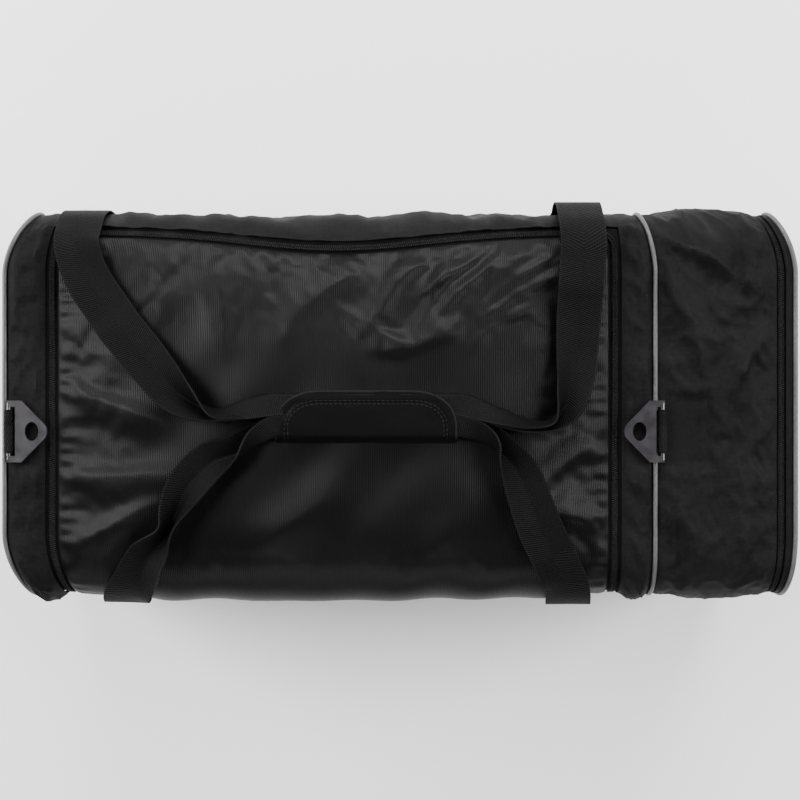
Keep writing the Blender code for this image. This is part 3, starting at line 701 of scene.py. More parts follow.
def gusset_relief(x_range, s_range):
    """The end compartment's cloth: creased and crumpled, flatter on its sides."""
    soft = soft_relief(x_range, s_range, 0.0020, 0.035, 31, bulge=0.002, reach=0.010)

    def relief(x, s):
        rim = edge_share(x, *x_range, 0.012)
        total = add_creases(soft(x, s), x, s, GUSSET_CREASES, rim)
        flat_share = 1 - 0.6 * smooth(FLAT_TOP - 0.01, FLAT_TOP + 0.03, np.abs(top_y(s)))
        loose = flat_share * (1.5 * total + rim * 0.0036 * crumple(x, s, 0.036, 35))
        return kept_low(loose, x, s, -0.001, 0.001)

    return relief


def gusset_cloth():
    x_range = (MIDDLE_X + SEAM, END_ZIP_X - END_ZIP_HALF + END_ZIP_LAP)
    s_range = (S_END_START, PERIMETER - S_END_START)
    relief = gusset_relief(x_range, s_range)
    field = slack_cloth(x_range, s_range, relief, 0.022, 0.8, 0.004, step=0.005, frames=20)
    x, s = surface_grid(x_range, s_range, 0.0026, 0.0030)
    points = place(x, s, relief(x, s)) + sample(field, x, s) * (1 - loop_room(x, s))[..., None]
    gusset = sheet_mesh("end_gusset_cloth", x, s, points, FABRIC, CLOTH_THICKNESS)
    finish_piece(gusset, "bag", ("end_gusset",))
    base_x, base_s = (MIDDLE_X + SEAM, RIGHT_X - SEAM), (-S_END_START, S_END_START)
    flat = soft_relief(base_x, base_s, 0.0008, 0.05, 33, reach=0.01)
    base = cloth_patch("end_gusset_floor", base_x, base_s, flat, 0.004)
    finish_piece(base, "bag", ("end_gusset_base",))


def end_cap(name, x_rim, outward, lift, bulge, seed, material=FABRIC, thickness=END_THICKNESS):
    """A panel across the bag inside the seam at x_rim, standing out by bulge in its middle."""
    rim = ring_points(x_rim, lift, 260)
    centre = np.array([x_rim + outward * bulge, 0.0, HEIGHT / 2])
    rings = []
    for share in np.concatenate([np.linspace(1, 0.9, 6)[:-1], np.linspace(0.9, 0.03, 30)]):
        ring = centre + (rim - centre) * share
        uneven = 0.002 * (1 - share**6) * waves(ring[:, 1], ring[:, 2], 0.07, seed)
        stuffed = bulge * (1 - share**4) + uneven
        ring[:, 0] = x_rim + (rim[:, 0] - x_rim) * share**4 + outward * stuffed
        rings.append(ring)
    points = np.stack(rings)
    points = np.concatenate([points, points[:, :1]], 1)
    obj = grid_mesh(name, points, points[..., 1:], material)
    bm = bmesh.new()
    bm.from_mesh(obj.data)
    bmesh.ops.remove_doubles(bm, verts=bm.verts, dist=1e-6)
    hole = [
        edge
        for edge in bm.edges
        if edge.is_boundary
        and edge.calc_length() < 0.004
        and (edge.verts[0].co.yz - Vector((0, HEIGHT / 2))).length < 0.02
    ]
    layer = bm.loops.layers.uv.active
    for face in bmesh.ops.contextual_create(bm, geom=hole)["faces"]:
        face.smooth = True
        for loop in face.loops:
            loop[layer].uv = loop.vert.co.yz
    bmesh.ops.recalc_face_normals(bm, faces=bm.faces)
    facing = sum(face.normal.x * face.calc_area() for face in bm.faces)
    if facing * outward < 0:
        bmesh.ops.reverse_faces(bm, faces=bm.faces)
    bm.to_mesh(obj.data)
    bm.free()
    return thicken(obj, thickness)


def ring_points(x, lift, count):
    return place(x, np.linspace(0, PERIMETER, count, endpoint=False), lift)


def end_panels_and_piping():
    left = end_cap("left_end_cloth", LEFT_X - 0.0004, -1, -0.0012, 0.0045, 41)
    finish_piece(left, "bag", ("left_end_panel",))
    divider = end_cap("divider_cloth", MIDDLE_X, 1, -0.0040, 0.0, 42, LINING, LINING_THICKNESS)
    finish_piece(divider, "bag", ("divider_panel",))
    door = end_cap("end_door_cloth", RIGHT_X - 0.0006, 1, -0.0012, -0.0022, 43)
    finish_piece(door, "end_door", ("end_door_panel",))
    for name, x, body in (
        ("left_piping", LEFT_X, "bag"),
        ("middle_piping", MIDDLE_X, "bag"),
        ("right_piping", RIGHT_X, "end_door"),
    ):
        points = ring_points(x, 0.0008, 300)
        points[:, 2] = np.maximum(points[:, 2], PIPING_RADIUS + 0.0001)
        cord = tube(f"{name}_cord", points, PIPING_RADIUS, PIPING, closed=True, sides=10)
        finish_piece(cord, body, (name,))


# ---- lid

LID_X = (ZIP_LEFT_X + ZIP_HALF - ZIP_LAP, ZIP_RIGHT_X - ZIP_HALF + ZIP_LAP)
LID_S = (S_LID_ZIP + ZIP_HALF - ZIP_LAP, REAR_SEAM)
PUCKER_REACH = 0.010
PUCKER_HEIGHT = 0.0010
LID_CREASES = (  # start, end, width, height
    ((0.130, 0.152), (0.026, 0.050), 0.022, 0.0044),
    ((0.150, 0.118), (0.040, 0.060), 0.011, 0.0036),
    ((-0.056, 0.080), (0.012, 0.050), 0.012, 0.0020),
    ((0.092, 0.142), (0.020, 0.062), 0.007, 0.0026),
    ((0.132, 0.130), (0.064, 0.080), 0.007, 0.0026),
    ((0.050, 0.150), (0.012, 0.060), 0.008, 0.0026),
    ((0.160, 0.140), (0.100, 0.110), 0.008, 0.0024),
    ((0.085, 0.152), (0.004, 0.082), 0.010, 0.0040),
    ((0.120, 0.092), (0.056, 0.046), 0.013, 0.0032),
    ((0.046, 0.062), (-0.030, 0.046), 0.015, 0.0036),
    ((0.020, 0.130), (-0.040, 0.060), 0.013, 0.0034),
    ((-0.040, 0.128), (-0.110, 0.050), 0.018, 0.0030),
    ((-0.150, 0.145), (-0.160, 0.040), 0.022, 0.0036),
    ((-0.295, 0.024), (-0.195, -0.030), 0.017, 0.0040),
    ((-0.295, -0.056), (-0.170, -0.070), 0.020, 0.0040),
    ((-0.290, -0.120), (-0.190, -0.085), 0.018, 0.0040),
    ((0.175, -0.035), (0.095, -0.075), 0.018, 0.0034),
    ((0.175, -0.110), (0.110, -0.080), 0.015, 0.0030),
    ((-0.240, 0.050), (-0.190, 0.110), 0.018, 0.0030),
    ((-0.060, -0.060), (-0.130, -0.140), 0.026, 0.0024),
    ((0.060, -0.050), (0.020, -0.140), 0.028, 0.0024),
)


def lid_crown(x, s):
    """The stuffed lid's height over the bag's surface, with the creases that the load draws in it."""
    u = (x - LID_X[0]) / (LID_X[1] - LID_X[0])
    v = (s - LID_S[0]) / (S_LID_HINGE + 0.006 - LID_S[0])
    inside = (u > 0) & (u < 1) & (v > 0) & (v < 1)
    body = (1 - np.abs(2 * u - 1) ** 3.2) * (1 - np.abs(2 * v - 1) ** 3.6)
    crown = np.where(inside, LID_CROWN * np.clip(body, 0, 1) ** 0.85, 0)
    rim = edge_share(x, *LID_X, 0.02) * smooth(0, 0.02, s - LID_S[0]) * smooth(0, 0.03, LID_S[1] - s)
    crown = add_creases(crown, x, s, LID_CREASES, rim)
    return crown + rim * 0.0016 * waves(x, s, 0.07, 51) + pucker(x, s)


def pucker(x, s):
    """The gathers that the stitching leaves along the lid's zip."""
    left, right, front = x - LID_X[0], LID_X[1] - x, s - LID_S[0]
    on_left = np.exp(-left / PUCKER_REACH) * np.sin(s * 430 + 2.2 * np.sin(s * 97))
    on_right = np.exp(-right / PUCKER_REACH) * np.sin(s * 390 + 2.0 * np.sin(s * 83))
    ahead = np.exp(-front / PUCKER_REACH) * np.sin(x * 360 + 2.4 * np.sin(x * 71))
    near = np.minimum(np.minimum(left, right), front)
    height = PUCKER_HEIGHT * (on_left + on_right + 0.5 * ahead)
    return height * smooth(0.0005, 0.006, near) * smooth(0, 0.03, LID_S[1] - s)


def lid_cloth():
    field = slack_cloth(LID_X, LID_S, lid_crown, 0.007, 1.0, 0.006)
    x, s = surface_grid(LID_X, LID_S, 0.0024, 0.0024)
    share = 1 - smooth(S_LID_HINGE - 0.090, S_LID_HINGE - 0.020, s)
    points = place(x, s, lid_crown(x, s)) + sample(field, x, s) * share[..., None]
    lid = sheet_mesh("lid_cloth", x, s, points, NYLON, LID_THICKNESS)
    blend_piece(lid, ("lid_panel",))
    return lid


# ---- zips

CORNER = 0.014
ROUTE_STEP = 0.002
TAPE_LIFT = -0.0021
TAPE_GAP = 0.0003
LID_TAPE = 0.014
END_TAPE = 0.0085
COIL_LIFT = -0.0018
COIL_PITCH = 0.0017
COIL_OVERLAP = 0.0005
COIL_REACH = 0.0030
COIL_HALF_TURN = 0.00066
COIL_RISE = 0.0013
COIL_PROFILE = ((-1.0, 0.0), (-0.75, 0.8), (0.0, 1.1), (0.75, 0.8), (1.0, 0.0))


def zip_route():
    """Rows (x, s, dx, ds) along the lid's zip from rear left round; (dx, ds) points off the lid."""
    front = S_LID_ZIP

    def corner_row(x, side, turn):
        out, forward = math.cos(turn), math.sin(turn)
        return (x - side * CORNER * (1 - out), front + CORNER * (1 - forward), side * out, -forward)

    up_side = along(front + CORNER, REAR_SEAM, ROUTE_STEP)
    rows = [(ZIP_LEFT_X, s, -1.0, 0.0) for s in up_side[::-1]]
    rows += [corner_row(ZIP_LEFT_X, -1, turn) for turn in np.radians(np.arange(8, 90, 8))]
    ahead = along(ZIP_LEFT_X + CORNER, ZIP_RIGHT_X - CORNER, ROUTE_STEP)
    rows += [(x, front, 0.0, -1.0) for x in ahead]
    rows += [corner_row(ZIP_RIGHT_X, 1, turn) for turn in np.radians(np.arange(82, 0, -8))]
    rows += [(ZIP_RIGHT_X, s, 1.0, 0.0) for s in up_side]
    return np.array(rows)


def end_route():
    """The same for the end compartment's zip; here (dx, ds) points off the door."""
    ss = along(S_END_START, PERIMETER - S_END_START, ROUTE_STEP)
    return np.array([(END_ZIP_X, s, -1.0, 0.0) for s in ss])


def zip_tape(name, route, side, width):
    """One tape of a zip; side is 1 for the half that the route's direction points to."""
    offsets = np.linspace(TAPE_GAP, width, 6) * side
    x = route[:, :1] + route[:, 2:3] * offsets
    s = route[:, 1:2] + route[:, 3:4] * offsets
    if side > 0:
        x, s = x[:, ::-1], s[:, ::-1]
    obj = grid_mesh(name, place(x, s, TAPE_LIFT), np.stack([x, s], -1), TAPE)
    bm = bmesh.new()
    bm.from_mesh(obj.data)
    top = max(bm.faces, key=lambda face: face.calc_center_median().z)
    if top.normal.z < 0:
        bmesh.ops.reverse_faces(bm, faces=bm.faces)
    bm.to_mesh(obj.data)
    bm.free()
    return thicken(obj, TAPE_THICKNESS)


def zip_coil(name, route, side):
    """One row of a coil zip's turns: rounded ribs that reach over the middle."""
    world = place(route[:, 0], route[:, 1], COIL_LIFT)
    lengths = running_length(world)
    places = np.arange(0.001, lengths[-1] - 0.001, COIL_PITCH) + (COIL_PITCH / 2 if side > 0 else 0)
    places = places[places < lengths[-1]]
    x, s, dx, ds = read_along(route, lengths, places).T
    low = place(x - dx * COIL_OVERLAP * side, s - ds * COIL_OVERLAP * side, COIL_LIFT)
    high = place(x + dx * COIL_REACH * side, s + ds * COIL_REACH * side, COIL_LIFT)
    ahead = read_along(world, lengths, places + 0.0005)
    run = unit(ahead - read_along(world, lengths, places - 0.0005))
    up = np.cross(run, unit(high - low))
    centre = (low + high) / 2
    outward = centre - np.stack([centre[:, 0], centre[:, 1] * 0.2, np.full(len(centre), HEIGHT / 2)], -1)
    up *= np.sign((up * outward).sum(1))[:, None]
    bm = bmesh.new()
    for k in range(len(places)):
        rings = [
            [point + run[k] * a * COIL_HALF_TURN + up[k] * b * COIL_RISE * size for a, b in COIL_PROFILE]
            for point, size in ((low[k], 0.75), (centre[k], 1.0), (high[k], 0.8))
        ]
        skin(bm, rings, flat=len(COIL_PROFILE) - 1)
    bmesh.ops.recalc_face_normals(bm, faces=bm.faces)
    return object_from(name, bm, COIL)


def zips():
    route = zip_route()
    toothed = route[route[:, 1] < S_LID_HINGE]
    for side, half in ((1, "bag"), (-1, "lid")):
        tape = zip_tape(f"lid_zip_{half}_tape", route, side, LID_TAPE)
        coil = zip_coil(f"lid_zip_{half}_coil", toothed, side)
        for piece, label in ((tape, "tape"), (coil, "coil")):
            slot, nodes = f"zip_{label}", (f"lid_zip_{label}_{half}",)
            if half == "bag":
                finish_piece(piece, "bag", nodes)
            else:
                blend_piece(piece, nodes)
    route = end_route()
    for side, half, body in ((1, "gusset", "bag"), (-1, "door", "end_door")):
        tape = zip_tape(f"end_zip_{half}_tape", route, side, END_TAPE)
        coil = zip_coil(f"end_zip_{half}_coil", route, side)
        finish_piece(tape, body, (f"end_zip_tape_{half}",))
        finish_piece(coil, body, (f"end_zip_coil_{half}",))
    border_x = (END_ZIP_X + END_ZIP_HALF - END_ZIP_LAP, RIGHT_X - SEAM + 0.0006)
    border_s = (S_END_START, PERIMETER - S_END_START)
    flat = soft_relief(border_x, border_s, 0.0004, 0.02, 61, bulge=0.0006, reach=0.003)
    border = cloth_patch("end_door_border_cloth", border_x, border_s, flat, 0.002)
    finish_piece(border, "end_door", ("end_door_border",))


# ---- handles

STRAP_HALF = 0.0198
STRAP_THICKNESS = 0.0016
STRAP_CLEARANCE = 0.0005
TAIL_CLEARANCE = 0.0004
TAIL_LOW_END = FLAT_BASE + 0.022
STRAP_STEPS = 12
STRAP_STEP = 0.0022
ACROSS = np.linspace(-STRAP_HALF, STRAP_HALF, 2 * STRAP_STEPS + 1)
CUT_FRONT = 0.1235
CUT_REAR = 0.1315

# Stations of each strap: (x, d, left, right, extra). d is the distance along the surface from the
# top's middle line, positive to the front. left and right are the turns in degrees of the strap's
# two halves about its middle, up positive, and extra is its height over what it lies on.
FRONT_LEFT = (
    (-0.280, 0.200, 0, 0, 0.0),
    (-0.282, 0.158, 0, 0, 0.001),
    (-0.282, 0.137, 6, 10, 0.003),
    (-0.272, 0.110, 0, 14, 0.004),
    (-0.252, 0.080, 0, 6, 0.002),
    (-0.230, 0.052, 4, 0, 0.001),
    (-0.206, 0.024, 26, 8, 0.001),
    (-0.186, 0.002, 62, 30, 0.001),
    (-0.168, -0.0085, 96, 60, 0.0005),
    (-0.150, -0.0085, 130, 64, 0.0005),
    (-0.130, -0.0045, 158, 32, 0.001),
    (-0.108, -0.0005, 174, 8, 0.002),
)
FRONT_RIGHT = (
    (0.158, 0.200, 0, 0, 0.0),
    (0.158, 0.158, 0, 0, 0.012),
    (0.159, 0.137, 0, 0, 0.017),
    (0.157, 0.110, 0, 6, 0.012),
    (0.155, 0.080, 0, 14, 0.004),
    (0.153, 0.050, 6, 28, 0.001),
    (0.151, 0.022, 14, 46, 0.001),
    (0.146, -0.003, 40, 72, 0.0005),
    (0.134, -0.0175, 70, 96, 0.0005),
    (0.112, -0.0190, 66, 112, 0.0005),
    (0.086, -0.0120, 44, 140, 0.001),
    (0.064, -0.0045, 18, 164, 0.001),
    (0.051, -0.0005, 6, 174, 0.002),
)
REAR_LEFT = (
    (-0.245, -0.200, 0, 0, 0.0),
    (-0.242, -0.166, 0, 4, 0.001),
    (-0.229, -0.146, 6, 14, 0.002),
    (-0.212, -0.126, 40, 50, 0.001),
    (-0.201, -0.109, 66, 84, 0.0005),
    (-0.194, -0.090, 46, 66, 0.0005),
    (-0.181, -0.069, 24, 40, 0.001),
    (-0.163, -0.050, 16, 48, 0.001),
    (-0.143, -0.036, 24, 92, 0.001),
    (-0.125, -0.026, 20, 142, 0.001),
    (-0.108, -0.0185, 6, 174, 0.002),
)
REAR_RIGHT = (
    (0.152, -0.200, 0, 0, 0.0),
    (0.147, -0.158, 0, 2, 0.001),
    (0.136, -0.137, 4, 0, 0.002),
    (0.123, -0.112, 10, 0, 0.002),
    (0.113, -0.088, 22, 4, 0.001),
    (0.105, -0.067, 38, 12, 0.001),
    (0.098, -0.048, 66, 26, 0.001),
    (0.088, -0.033, 108, 30, 0.001),
    (0.072, -0.0235, 148, 16, 0.001),
    (0.051, -0.0185, 174, 6, 0.002),
)


def ground_of(objects):
    """A tree of the pieces that straps lie on."""
    bm = bmesh.new()
    for obj in objects:
        bm.from_mesh(obj.data)
    tree = BVHTree.FromBMesh(bm)
    bm.free()
    return tree


def height_over_bag(tree, x, s):
    """How far over the bag's surface the pieces rise at (x, s)."""
    y, z, ny, nz = (float(v) for v in outline(s))
    normal = Vector((0, ny, nz))
    base = Vector((x, y, z))
    hit = tree.ray_cast(base + normal * 0.06, -normal, 0.10)[0]
    return (hit - base).dot(normal) if hit else 0.0


def spline(values, places):
    """Catmull-Rom through rows of values, at places from 0 to the last row's number."""
    values = np.asarray(values, float)
    padded = np.vstack([2 * values[0] - values[1], values, 2 * values[-1] - values[-2]])
    k = np.clip(places.astype(int), 0, len(values) - 2)
    t = (places - k)[:, None]
    a, b, c, d = (padded[k + n] for n in range(4))
    bend, twist = 2 * a - 5 * b + 4 * c - d, 3 * b - a - 3 * c + d
    return 0.5 * (2 * b + (c - a) * t + bend * t**2 + twist * t**3)


def even_path(stations):
    """The stations joined smoothly and read at even steps of distance."""
    dense = spline(stations, np.linspace(0, len(stations) - 1, 60 * len(stations)))
    length = running_length(dense[:, :2])
    places = np.linspace(0, length[-1], int(length[-1] / STRAP_STEP) + 1)
    return read_along(dense, length, places), places


def cloth_uvs(across, length):
    return np.stack(np.broadcast_arrays(across[None, :], length[:, None]), -1)


def strap_sections(tree, stations):
    """Rows of points across a strap that follows its stations and rests on the bag."""
    path, places = even_path(stations)
    x, d, left, right, extra = path.T
    s = S_MIDDLE - d
    y, z, ny, nz = outline(s)
    centre = np.stack([x, y, z], -1)
    up = np.stack([np.zeros(len(x)), ny, nz], -1)
    side = unit(np.cross(unit(np.gradient(centre, axis=0)), up))
    share = smooth(-0.0035, 0.0035, (ACROSS[1:] + ACROSS[:-1]) / 2)
    gap = ACROSS[1] - ACROSS[0]
    shapes, lifts = [], []
    for k in range(len(path)):
        turn = -np.radians(left[k]) * (1 - share) + np.radians(right[k]) * share
        out = np.concatenate([[0], np.cumsum(np.cos(turn) * gap)])
        rise = np.concatenate([[0], np.cumsum(np.sin(turn) * gap)])
        out, rise = out - out[STRAP_STEPS], rise - rise[STRAP_STEPS]
        out = out - (out.min() + out.max()) / 2 * smooth(20, 70, max(left[k], right[k]))
        over_x, over_y, _ = side[k][:, None] * out
        over_s = -over_y if abs(nz[k]) > 0.7 else np.zeros(len(out))
        under = [
            height_over_bag(tree, x[k] + over_x[n], s[k] + over_s[n]) - rise[n]
            for n in range(0, len(ACROSS), 3)
        ]
        lifts.append(max(under) + STRAP_THICKNESS + STRAP_CLEARANCE + max(0.0, extra[k]))
        shapes.append(side[k] * out[:, None] + up[k] * rise[:, None])
    wide = np.lib.stride_tricks.sliding_window_view(np.pad(lifts, 4, mode="edge"), 9)
    window = np.hanning(11)
    lifts = np.convolve(np.pad(wide.max(1), 4, mode="edge"), window[1:-1] / window.sum(), "valid")
    points = (centre + up * lifts[:, None])[:, None] + np.stack(shapes)
    return points, cloth_uvs(ACROSS, places), d


def strap_mesh(name, points, uvs):
    obj = grid_mesh(name, points, uvs, WEBBING)
    return thicken(obj, STRAP_THICKNESS, 0.0)


def tail_points(tree, x, side, root, flip):
    """The stitched tail on the side of the bag, from its lower end up to the strap's first row."""
    ss = along(TAIL_LOW_END, root, 0.005)
    ring = ss if side > 0 else PERIMETER - ss
    under = [max(height_over_bag(tree, x + offset, s) for offset in ACROSS[::6]) for s in ring]
    lift = np.maximum(under, 0) + STRAP_THICKNESS + TAIL_CLEARANCE
    lift = np.convolve(np.pad(lift, 3, mode="edge"), np.full(7, 1 / 7), "valid")
    points = on_outline(x + ACROSS[None, :] * flip, ring[:, None], lift[:, None])
    return points, cloth_uvs(ACROSS, ss - root)


def handle(tree, name, side, cut, left, right):
    """One handle: a strap from each root to the grip, and its folded middle inside the grip."""
    ends = []
    for label, stations in (("left", left), ("right", right)):
        points, uvs, d = strap_sections(tree, stations)
        root = S_MIDDLE - abs(stations[0][1]) - 0.003
        flip = -1.0 if points[0, -1, 0] < points[0, 0, 0] else 1.0
        tail, tail_uv = tail_points(tree, stations[0][0], side, root, flip)
        first = int(np.argmax(np.abs(d) < cut))
        lower = np.concatenate([tail, points[: first + 1]])
        lower_uv = np.concatenate([tail_uv, uvs[: first + 1]])
        piece = strap_mesh(f"{name}_strap_{label}_root", lower, lower_uv)
        nodes = (f"{name}_handle_tail_{label}", f"{name}_handle_riser_{label}")
        blend_piece(piece, nodes)
        ends.append((points[first:], uvs[first:]))
    (left_points, left_uv), (right_points, right_uv) = ends
    right_points, right_uv = right_points[::-1, ::-1], right_uv[::-1, ::-1]
    share = np.linspace(0, 1, 62)[1:-1, None, None]
    core = left_points[-1] * (1 - share) + right_points[0] * share
    gap = abs(left_points[-1, 0, 0] - right_points[0, 0, 0])
    across, length = left_uv[-1, :, 0], left_uv[-1, 0, 1]
    core_uv = cloth_uvs(across, length + gap * share[:, 0, 0])
    right_v = length + gap + right_uv[0, 0, 1] - right_uv[..., 1]
    right_uv = np.stack([np.broadcast_to(across, right_v.shape), right_v], -1)
    points = np.concatenate([left_points, core, right_points])
    strap = strap_mesh(f"{name}_strap", points, np.concatenate([left_uv, core_uv, right_uv]))
    nodes = tuple(f"{name}_handle_{part}" for part in ("leg_left", "core", "leg_right"))
    blend_piece(strap, nodes)


def handles(tree):
    handle(tree, "front", 1, CUT_FRONT, FRONT_LEFT, FRONT_RIGHT)
    handle(tree, "rear", -1, CUT_REAR, REAR_LEFT, REAR_RIGHT)


# ---- grip

GRIP_LEFT, GRIP_RIGHT = -0.107, 0.0485
GRIP_REAR, GRIP_FRONT = -0.0335, 0.0100
GRIP_LOW = 0.3258
GRIP_TOP = 0.3378
FLAP_FRONT = GRIP_FRONT + 0.001
FLAP_CORNER = (0.040, 0.032)
BASE_CORNER = (0.004, 0.004)
CORNER_POWER = 2.3
SHEET_STEP = 0.0012
STITCH_INSETS = (0.0080, 0.0108)
STITCH_LENGTH = 0.0030
STITCH_GAP = 0.0011
STITCH_RADIUS = 0.00045


def corner_inset(edge, corner):
    """How far a corner of these two reaches takes the side in, at a distance from the end edge."""
    reach_x, reach_y = corner
    share = np.clip(1 - edge / reach_y, 0, 1)
    return reach_x * (1 - (1 - share**CORNER_POWER) ** (1 / CORNER_POWER))


def rounded_sheet(name, x_range, y_range, corner, height, thickness):
    """A sheet over a rectangle whose two front corners are rounded."""
    (x0, x1), (y0, y1) = x_range, y_range
    ys = y1 - (y1 - y0) * np.linspace(0, 1, int((y1 - y0) / SHEET_STEP) + 1)[::-1] ** 1.5
    across = np.linspace(0, 1, int((x1 - x0) / SHEET_STEP) + 1)
    inset = corner_inset(y1 - ys, corner)[:, None]
    x = x0 + inset + across * (x1 - x0 - 2 * inset)
    x, y = np.broadcast_arrays(x, ys[:, None])
    points = np.stack([x, y, height(x, y)], -1)
    return thicken(grid_mesh(name, points, points[..., :2], GRIP), thickness)


def outline_of_flap(inset, lift):
    """A line on the flap inside its free edge, from rear left round the front to rear right."""
    reach = (FLAP_CORNER[0] - inset, FLAP_CORNER[1] - inset)
    x0, x1, y1 = GRIP_LEFT + inset, GRIP_RIGHT - inset, FLAP_FRONT - inset
    edge = np.linspace(0, 1, 60) ** 2 * (y1 - GRIP_REAR - 0.003)
    left = np.stack([x0 + corner_inset(edge, reach), y1 - edge], -1)
    right = np.stack([x1 - corner_inset(edge, reach), y1 - edge], -1)
    line = np.concatenate([left[::-1], right])
    return np.column_stack([line, flap_height(line[:, 0], line[:, 1]) + lift])


def across_grip(y):
    """-1 at the grip's rear edge, 1 at its front edge."""
    return (y - (GRIP_REAR + GRIP_FRONT) / 2) / ((GRIP_FRONT - GRIP_REAR) / 2)


def flap_height(x, y):
    """The flap's top: round over the two straps, rolled down at its fold and a little at its rim."""
    crown = GRIP_TOP + 0.0016 * (1 - across_grip(y) ** 2) + 0.0005 * waves(x, y, 0.030, 71)
    roll = 0.0060 * (1 - smooth(0, 0.0065, y - GRIP_REAR))
    roll = roll + 0.0018 * (1 - smooth(0, 0.006, GRIP_FRONT - y))
    ends = 0.0016 * (1 - edge_share(x, GRIP_LEFT, GRIP_RIGHT, 0.010))
    edge = FLAP_FRONT - y
    side = np.minimum(x - GRIP_LEFT, GRIP_RIGHT - x) - corner_inset(edge, FLAP_CORNER)
    groove = 0.0008 * bell(np.minimum(side, edge) - sum(STITCH_INSETS) / 2, 0.0022)
    return crown - roll - ends - groove


def base_height(x, y):
    return GRIP_LOW + 0.0022 + 0.0012 * across_grip(y) ** 4 + 0.0002 * waves(x, y, 0.03, 72)


def stitch_row(name, line):
    """Thread showing as short rounded stitches along a line of points."""
    reach = running_length(line)
    turns = np.linspace(0, 2 * math.pi, 6, endpoint=False)
    bm = bmesh.new()
    for start in np.arange(STITCH_GAP, reach[-1] - STITCH_LENGTH, STITCH_LENGTH + STITCH_GAP):
        points = read_along(line, reach, np.linspace(start, start + STITCH_LENGTH, 5))
        run = unit(points[-1] - points[0])
        one = unit(np.cross(run, (0.31, 0.17, 0.93)))
        circle = np.outer(np.cos(turns), one) + np.outer(np.sin(turns), np.cross(run, one))
        sizes = STITCH_RADIUS * np.array([0.35, 0.9, 1.0, 0.9, 0.35])
        skin(bm, points[:, None] + sizes[:, None, None] * circle)
    bmesh.ops.recalc_face_normals(bm, faces=bm.faces)
    return object_from(name, bm, THREAD)


def grip():
    flap_box = ((GRIP_LEFT, GRIP_RIGHT), (GRIP_REAR, FLAP_FRONT))
    flap = rounded_sheet("grip_flap_pad", *flap_box, FLAP_CORNER, flap_height, FLAP_THICKNESS)
    finish_piece(flap, "grip_flap", ("grip_wrap_flap",))
    base_box = ((GRIP_LEFT - 0.001, GRIP_RIGHT + 0.001), (GRIP_REAR + 0.001, GRIP_FRONT - 0.001))
    base = rounded_sheet("grip_base_pad", *base_box, BASE_CORNER, base_height, GRIP_BASE_THICKNESS)
    finish_piece(base, "rear_handle", ("grip_wrap_base",))
    binding = tube("grip_flap_binding", outline_of_flap(0.0003, -0.0008), BINDING_RADIUS, BINDING)
    finish_piece(binding, "grip_flap")
    for number, inset in enumerate(STITCH_INSETS):
        row = stitch_row(f"grip_flap_stitches_{number + 1}", outline_of_flap(inset, 0.0002))
        finish_piece(row, "grip_flap")


# ---- loops and their tabs


def loop_tabs():
    for label in ("left", "right"):
        low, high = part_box(f"{label}_loop_tab")
        x = np.linspace(low.x - 0.0004, high.x + 0.0004, 9)
        y = along(low.y + 0.0015, high.y - 0.0015, 0.0012)
        xs, ys = np.meshgrid(x, y[::-1], indexing="ij")
        u = (xs - x[0]) / (x[-1] - x[0]) * 2 - 1
        top = high.z + 0.0004 - 0.0030 * np.abs(u) ** 3 + 0.0002 * waves(xs, ys, 0.01, 81)
        points = np.stack([xs, ys, top], -1)
        cover = grid_mesh(f"{label}_tab_cover", points, np.stack([ys, xs], -1), WEBBING)
        finish_piece(thicken(cover, TAB_THICKNESS), "bag")


# ---- camera, light, floor


def stage():
    bm = bmesh.new()
    bmesh.ops.create_grid(bm, x_segments=1, y_segments=1, size=6.0)
    white, _, _ = new_material("floor", grey(0.93), 0.9, 0.1)
    object_from("floor", bm, white)


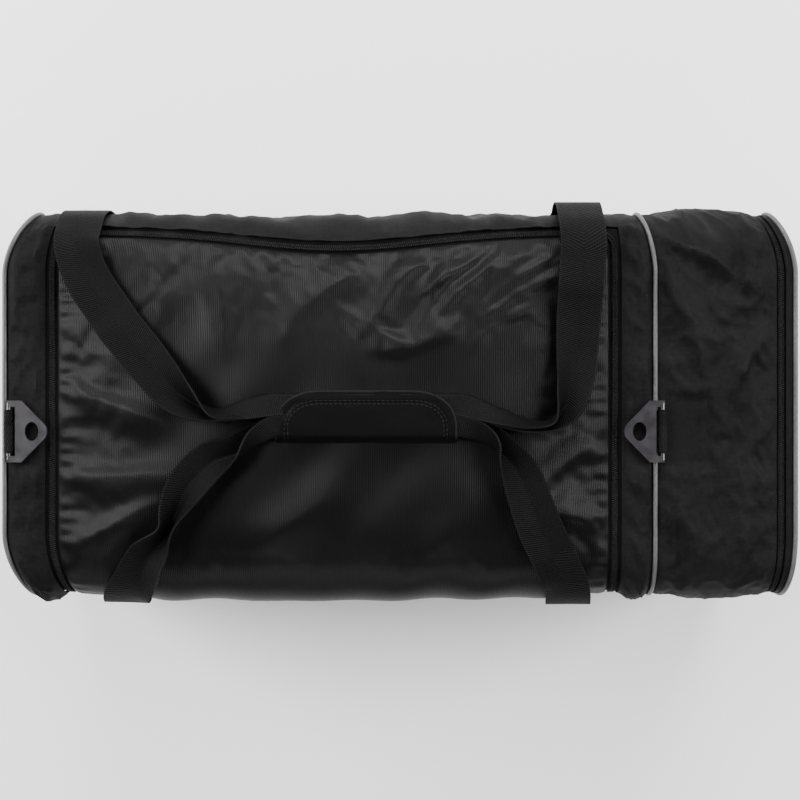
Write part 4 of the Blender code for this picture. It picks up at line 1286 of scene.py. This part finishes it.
LIGHTS = (
    ("key", (-1.9, 0.5, 1.5), (1.0, 2.2), 115),
    ("fill", (2.0, 0.3, 1.4), (0.9, 2.2), 85),
    ("back", (0.2, 2.0, 1.5), (2.4, 0.8), 120),
    ("front", (0.0, -2.2, 1.6), (2.0, 0.8), 40),
)
LIGHT_TARGET = (0, 0, 0.2)
WORLD_STRENGTH = 0.11
SENSOR = 36.0
VIEW_DISTANCE = 1.34
VIEW_WIDTH = 0.7035
VIEW_Y = 0.0035


def area_light(name, at, size, power):
    data = bpy.data.lights.new(name, "AREA")
    data.shape = "RECTANGLE"
    data.size, data.size_y = size
    data.energy = power
    lamp = bpy.data.objects.new(name, data)
    lamp.location = at
    lamp.rotation_euler = (Vector(LIGHT_TARGET) - Vector(at)).to_track_quat("-Z", "Y").to_euler()
    bpy.context.scene.collection.objects.link(lamp)


def light_and_camera():
    world = bpy.data.worlds.new("studio")
    world.use_nodes = True
    back = world.node_tree.nodes["Background"]
    back.inputs["Color"].default_value = (1.0, 1.0, 1.0, 1.0)
    back.inputs["Strength"].default_value = WORLD_STRENGTH
    bpy.context.scene.world = world
    for light in LIGHTS:
        area_light(*light)
    camera_data = bpy.data.cameras.new("camera")
    camera_data.sensor_width = SENSOR
    camera_data.lens = SENSOR * VIEW_DISTANCE / VIEW_WIDTH
    camera = bpy.data.objects.new("camera", camera_data)
    camera.location = (0.0, VIEW_Y, HEIGHT + VIEW_DISTANCE)
    bpy.context.scene.collection.objects.link(camera)
    bpy.context.scene.camera = camera


def repaint(material, *nodes):
    """A carried-over CAD node's plain material, replaced."""
    for node in nodes:
        for material_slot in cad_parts[node].material_slots:
            material_slot.material = material


stage()
light_and_camera()
ground = body_cloth()
gusset_cloth()
end_panels_and_piping()
ground.append(lid_cloth())
zips()
handles(ground_of(ground))
grip()
loop_tabs()
repaint(BOARD, "base_board")
repaint(PLASTIC, "left_strap_loop", "right_strap_loop")
repaint(WEBBING, "left_loop_tab", "right_loop_tab")
repaint(METAL, *(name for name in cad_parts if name.endswith(("_slider", "_pull"))))
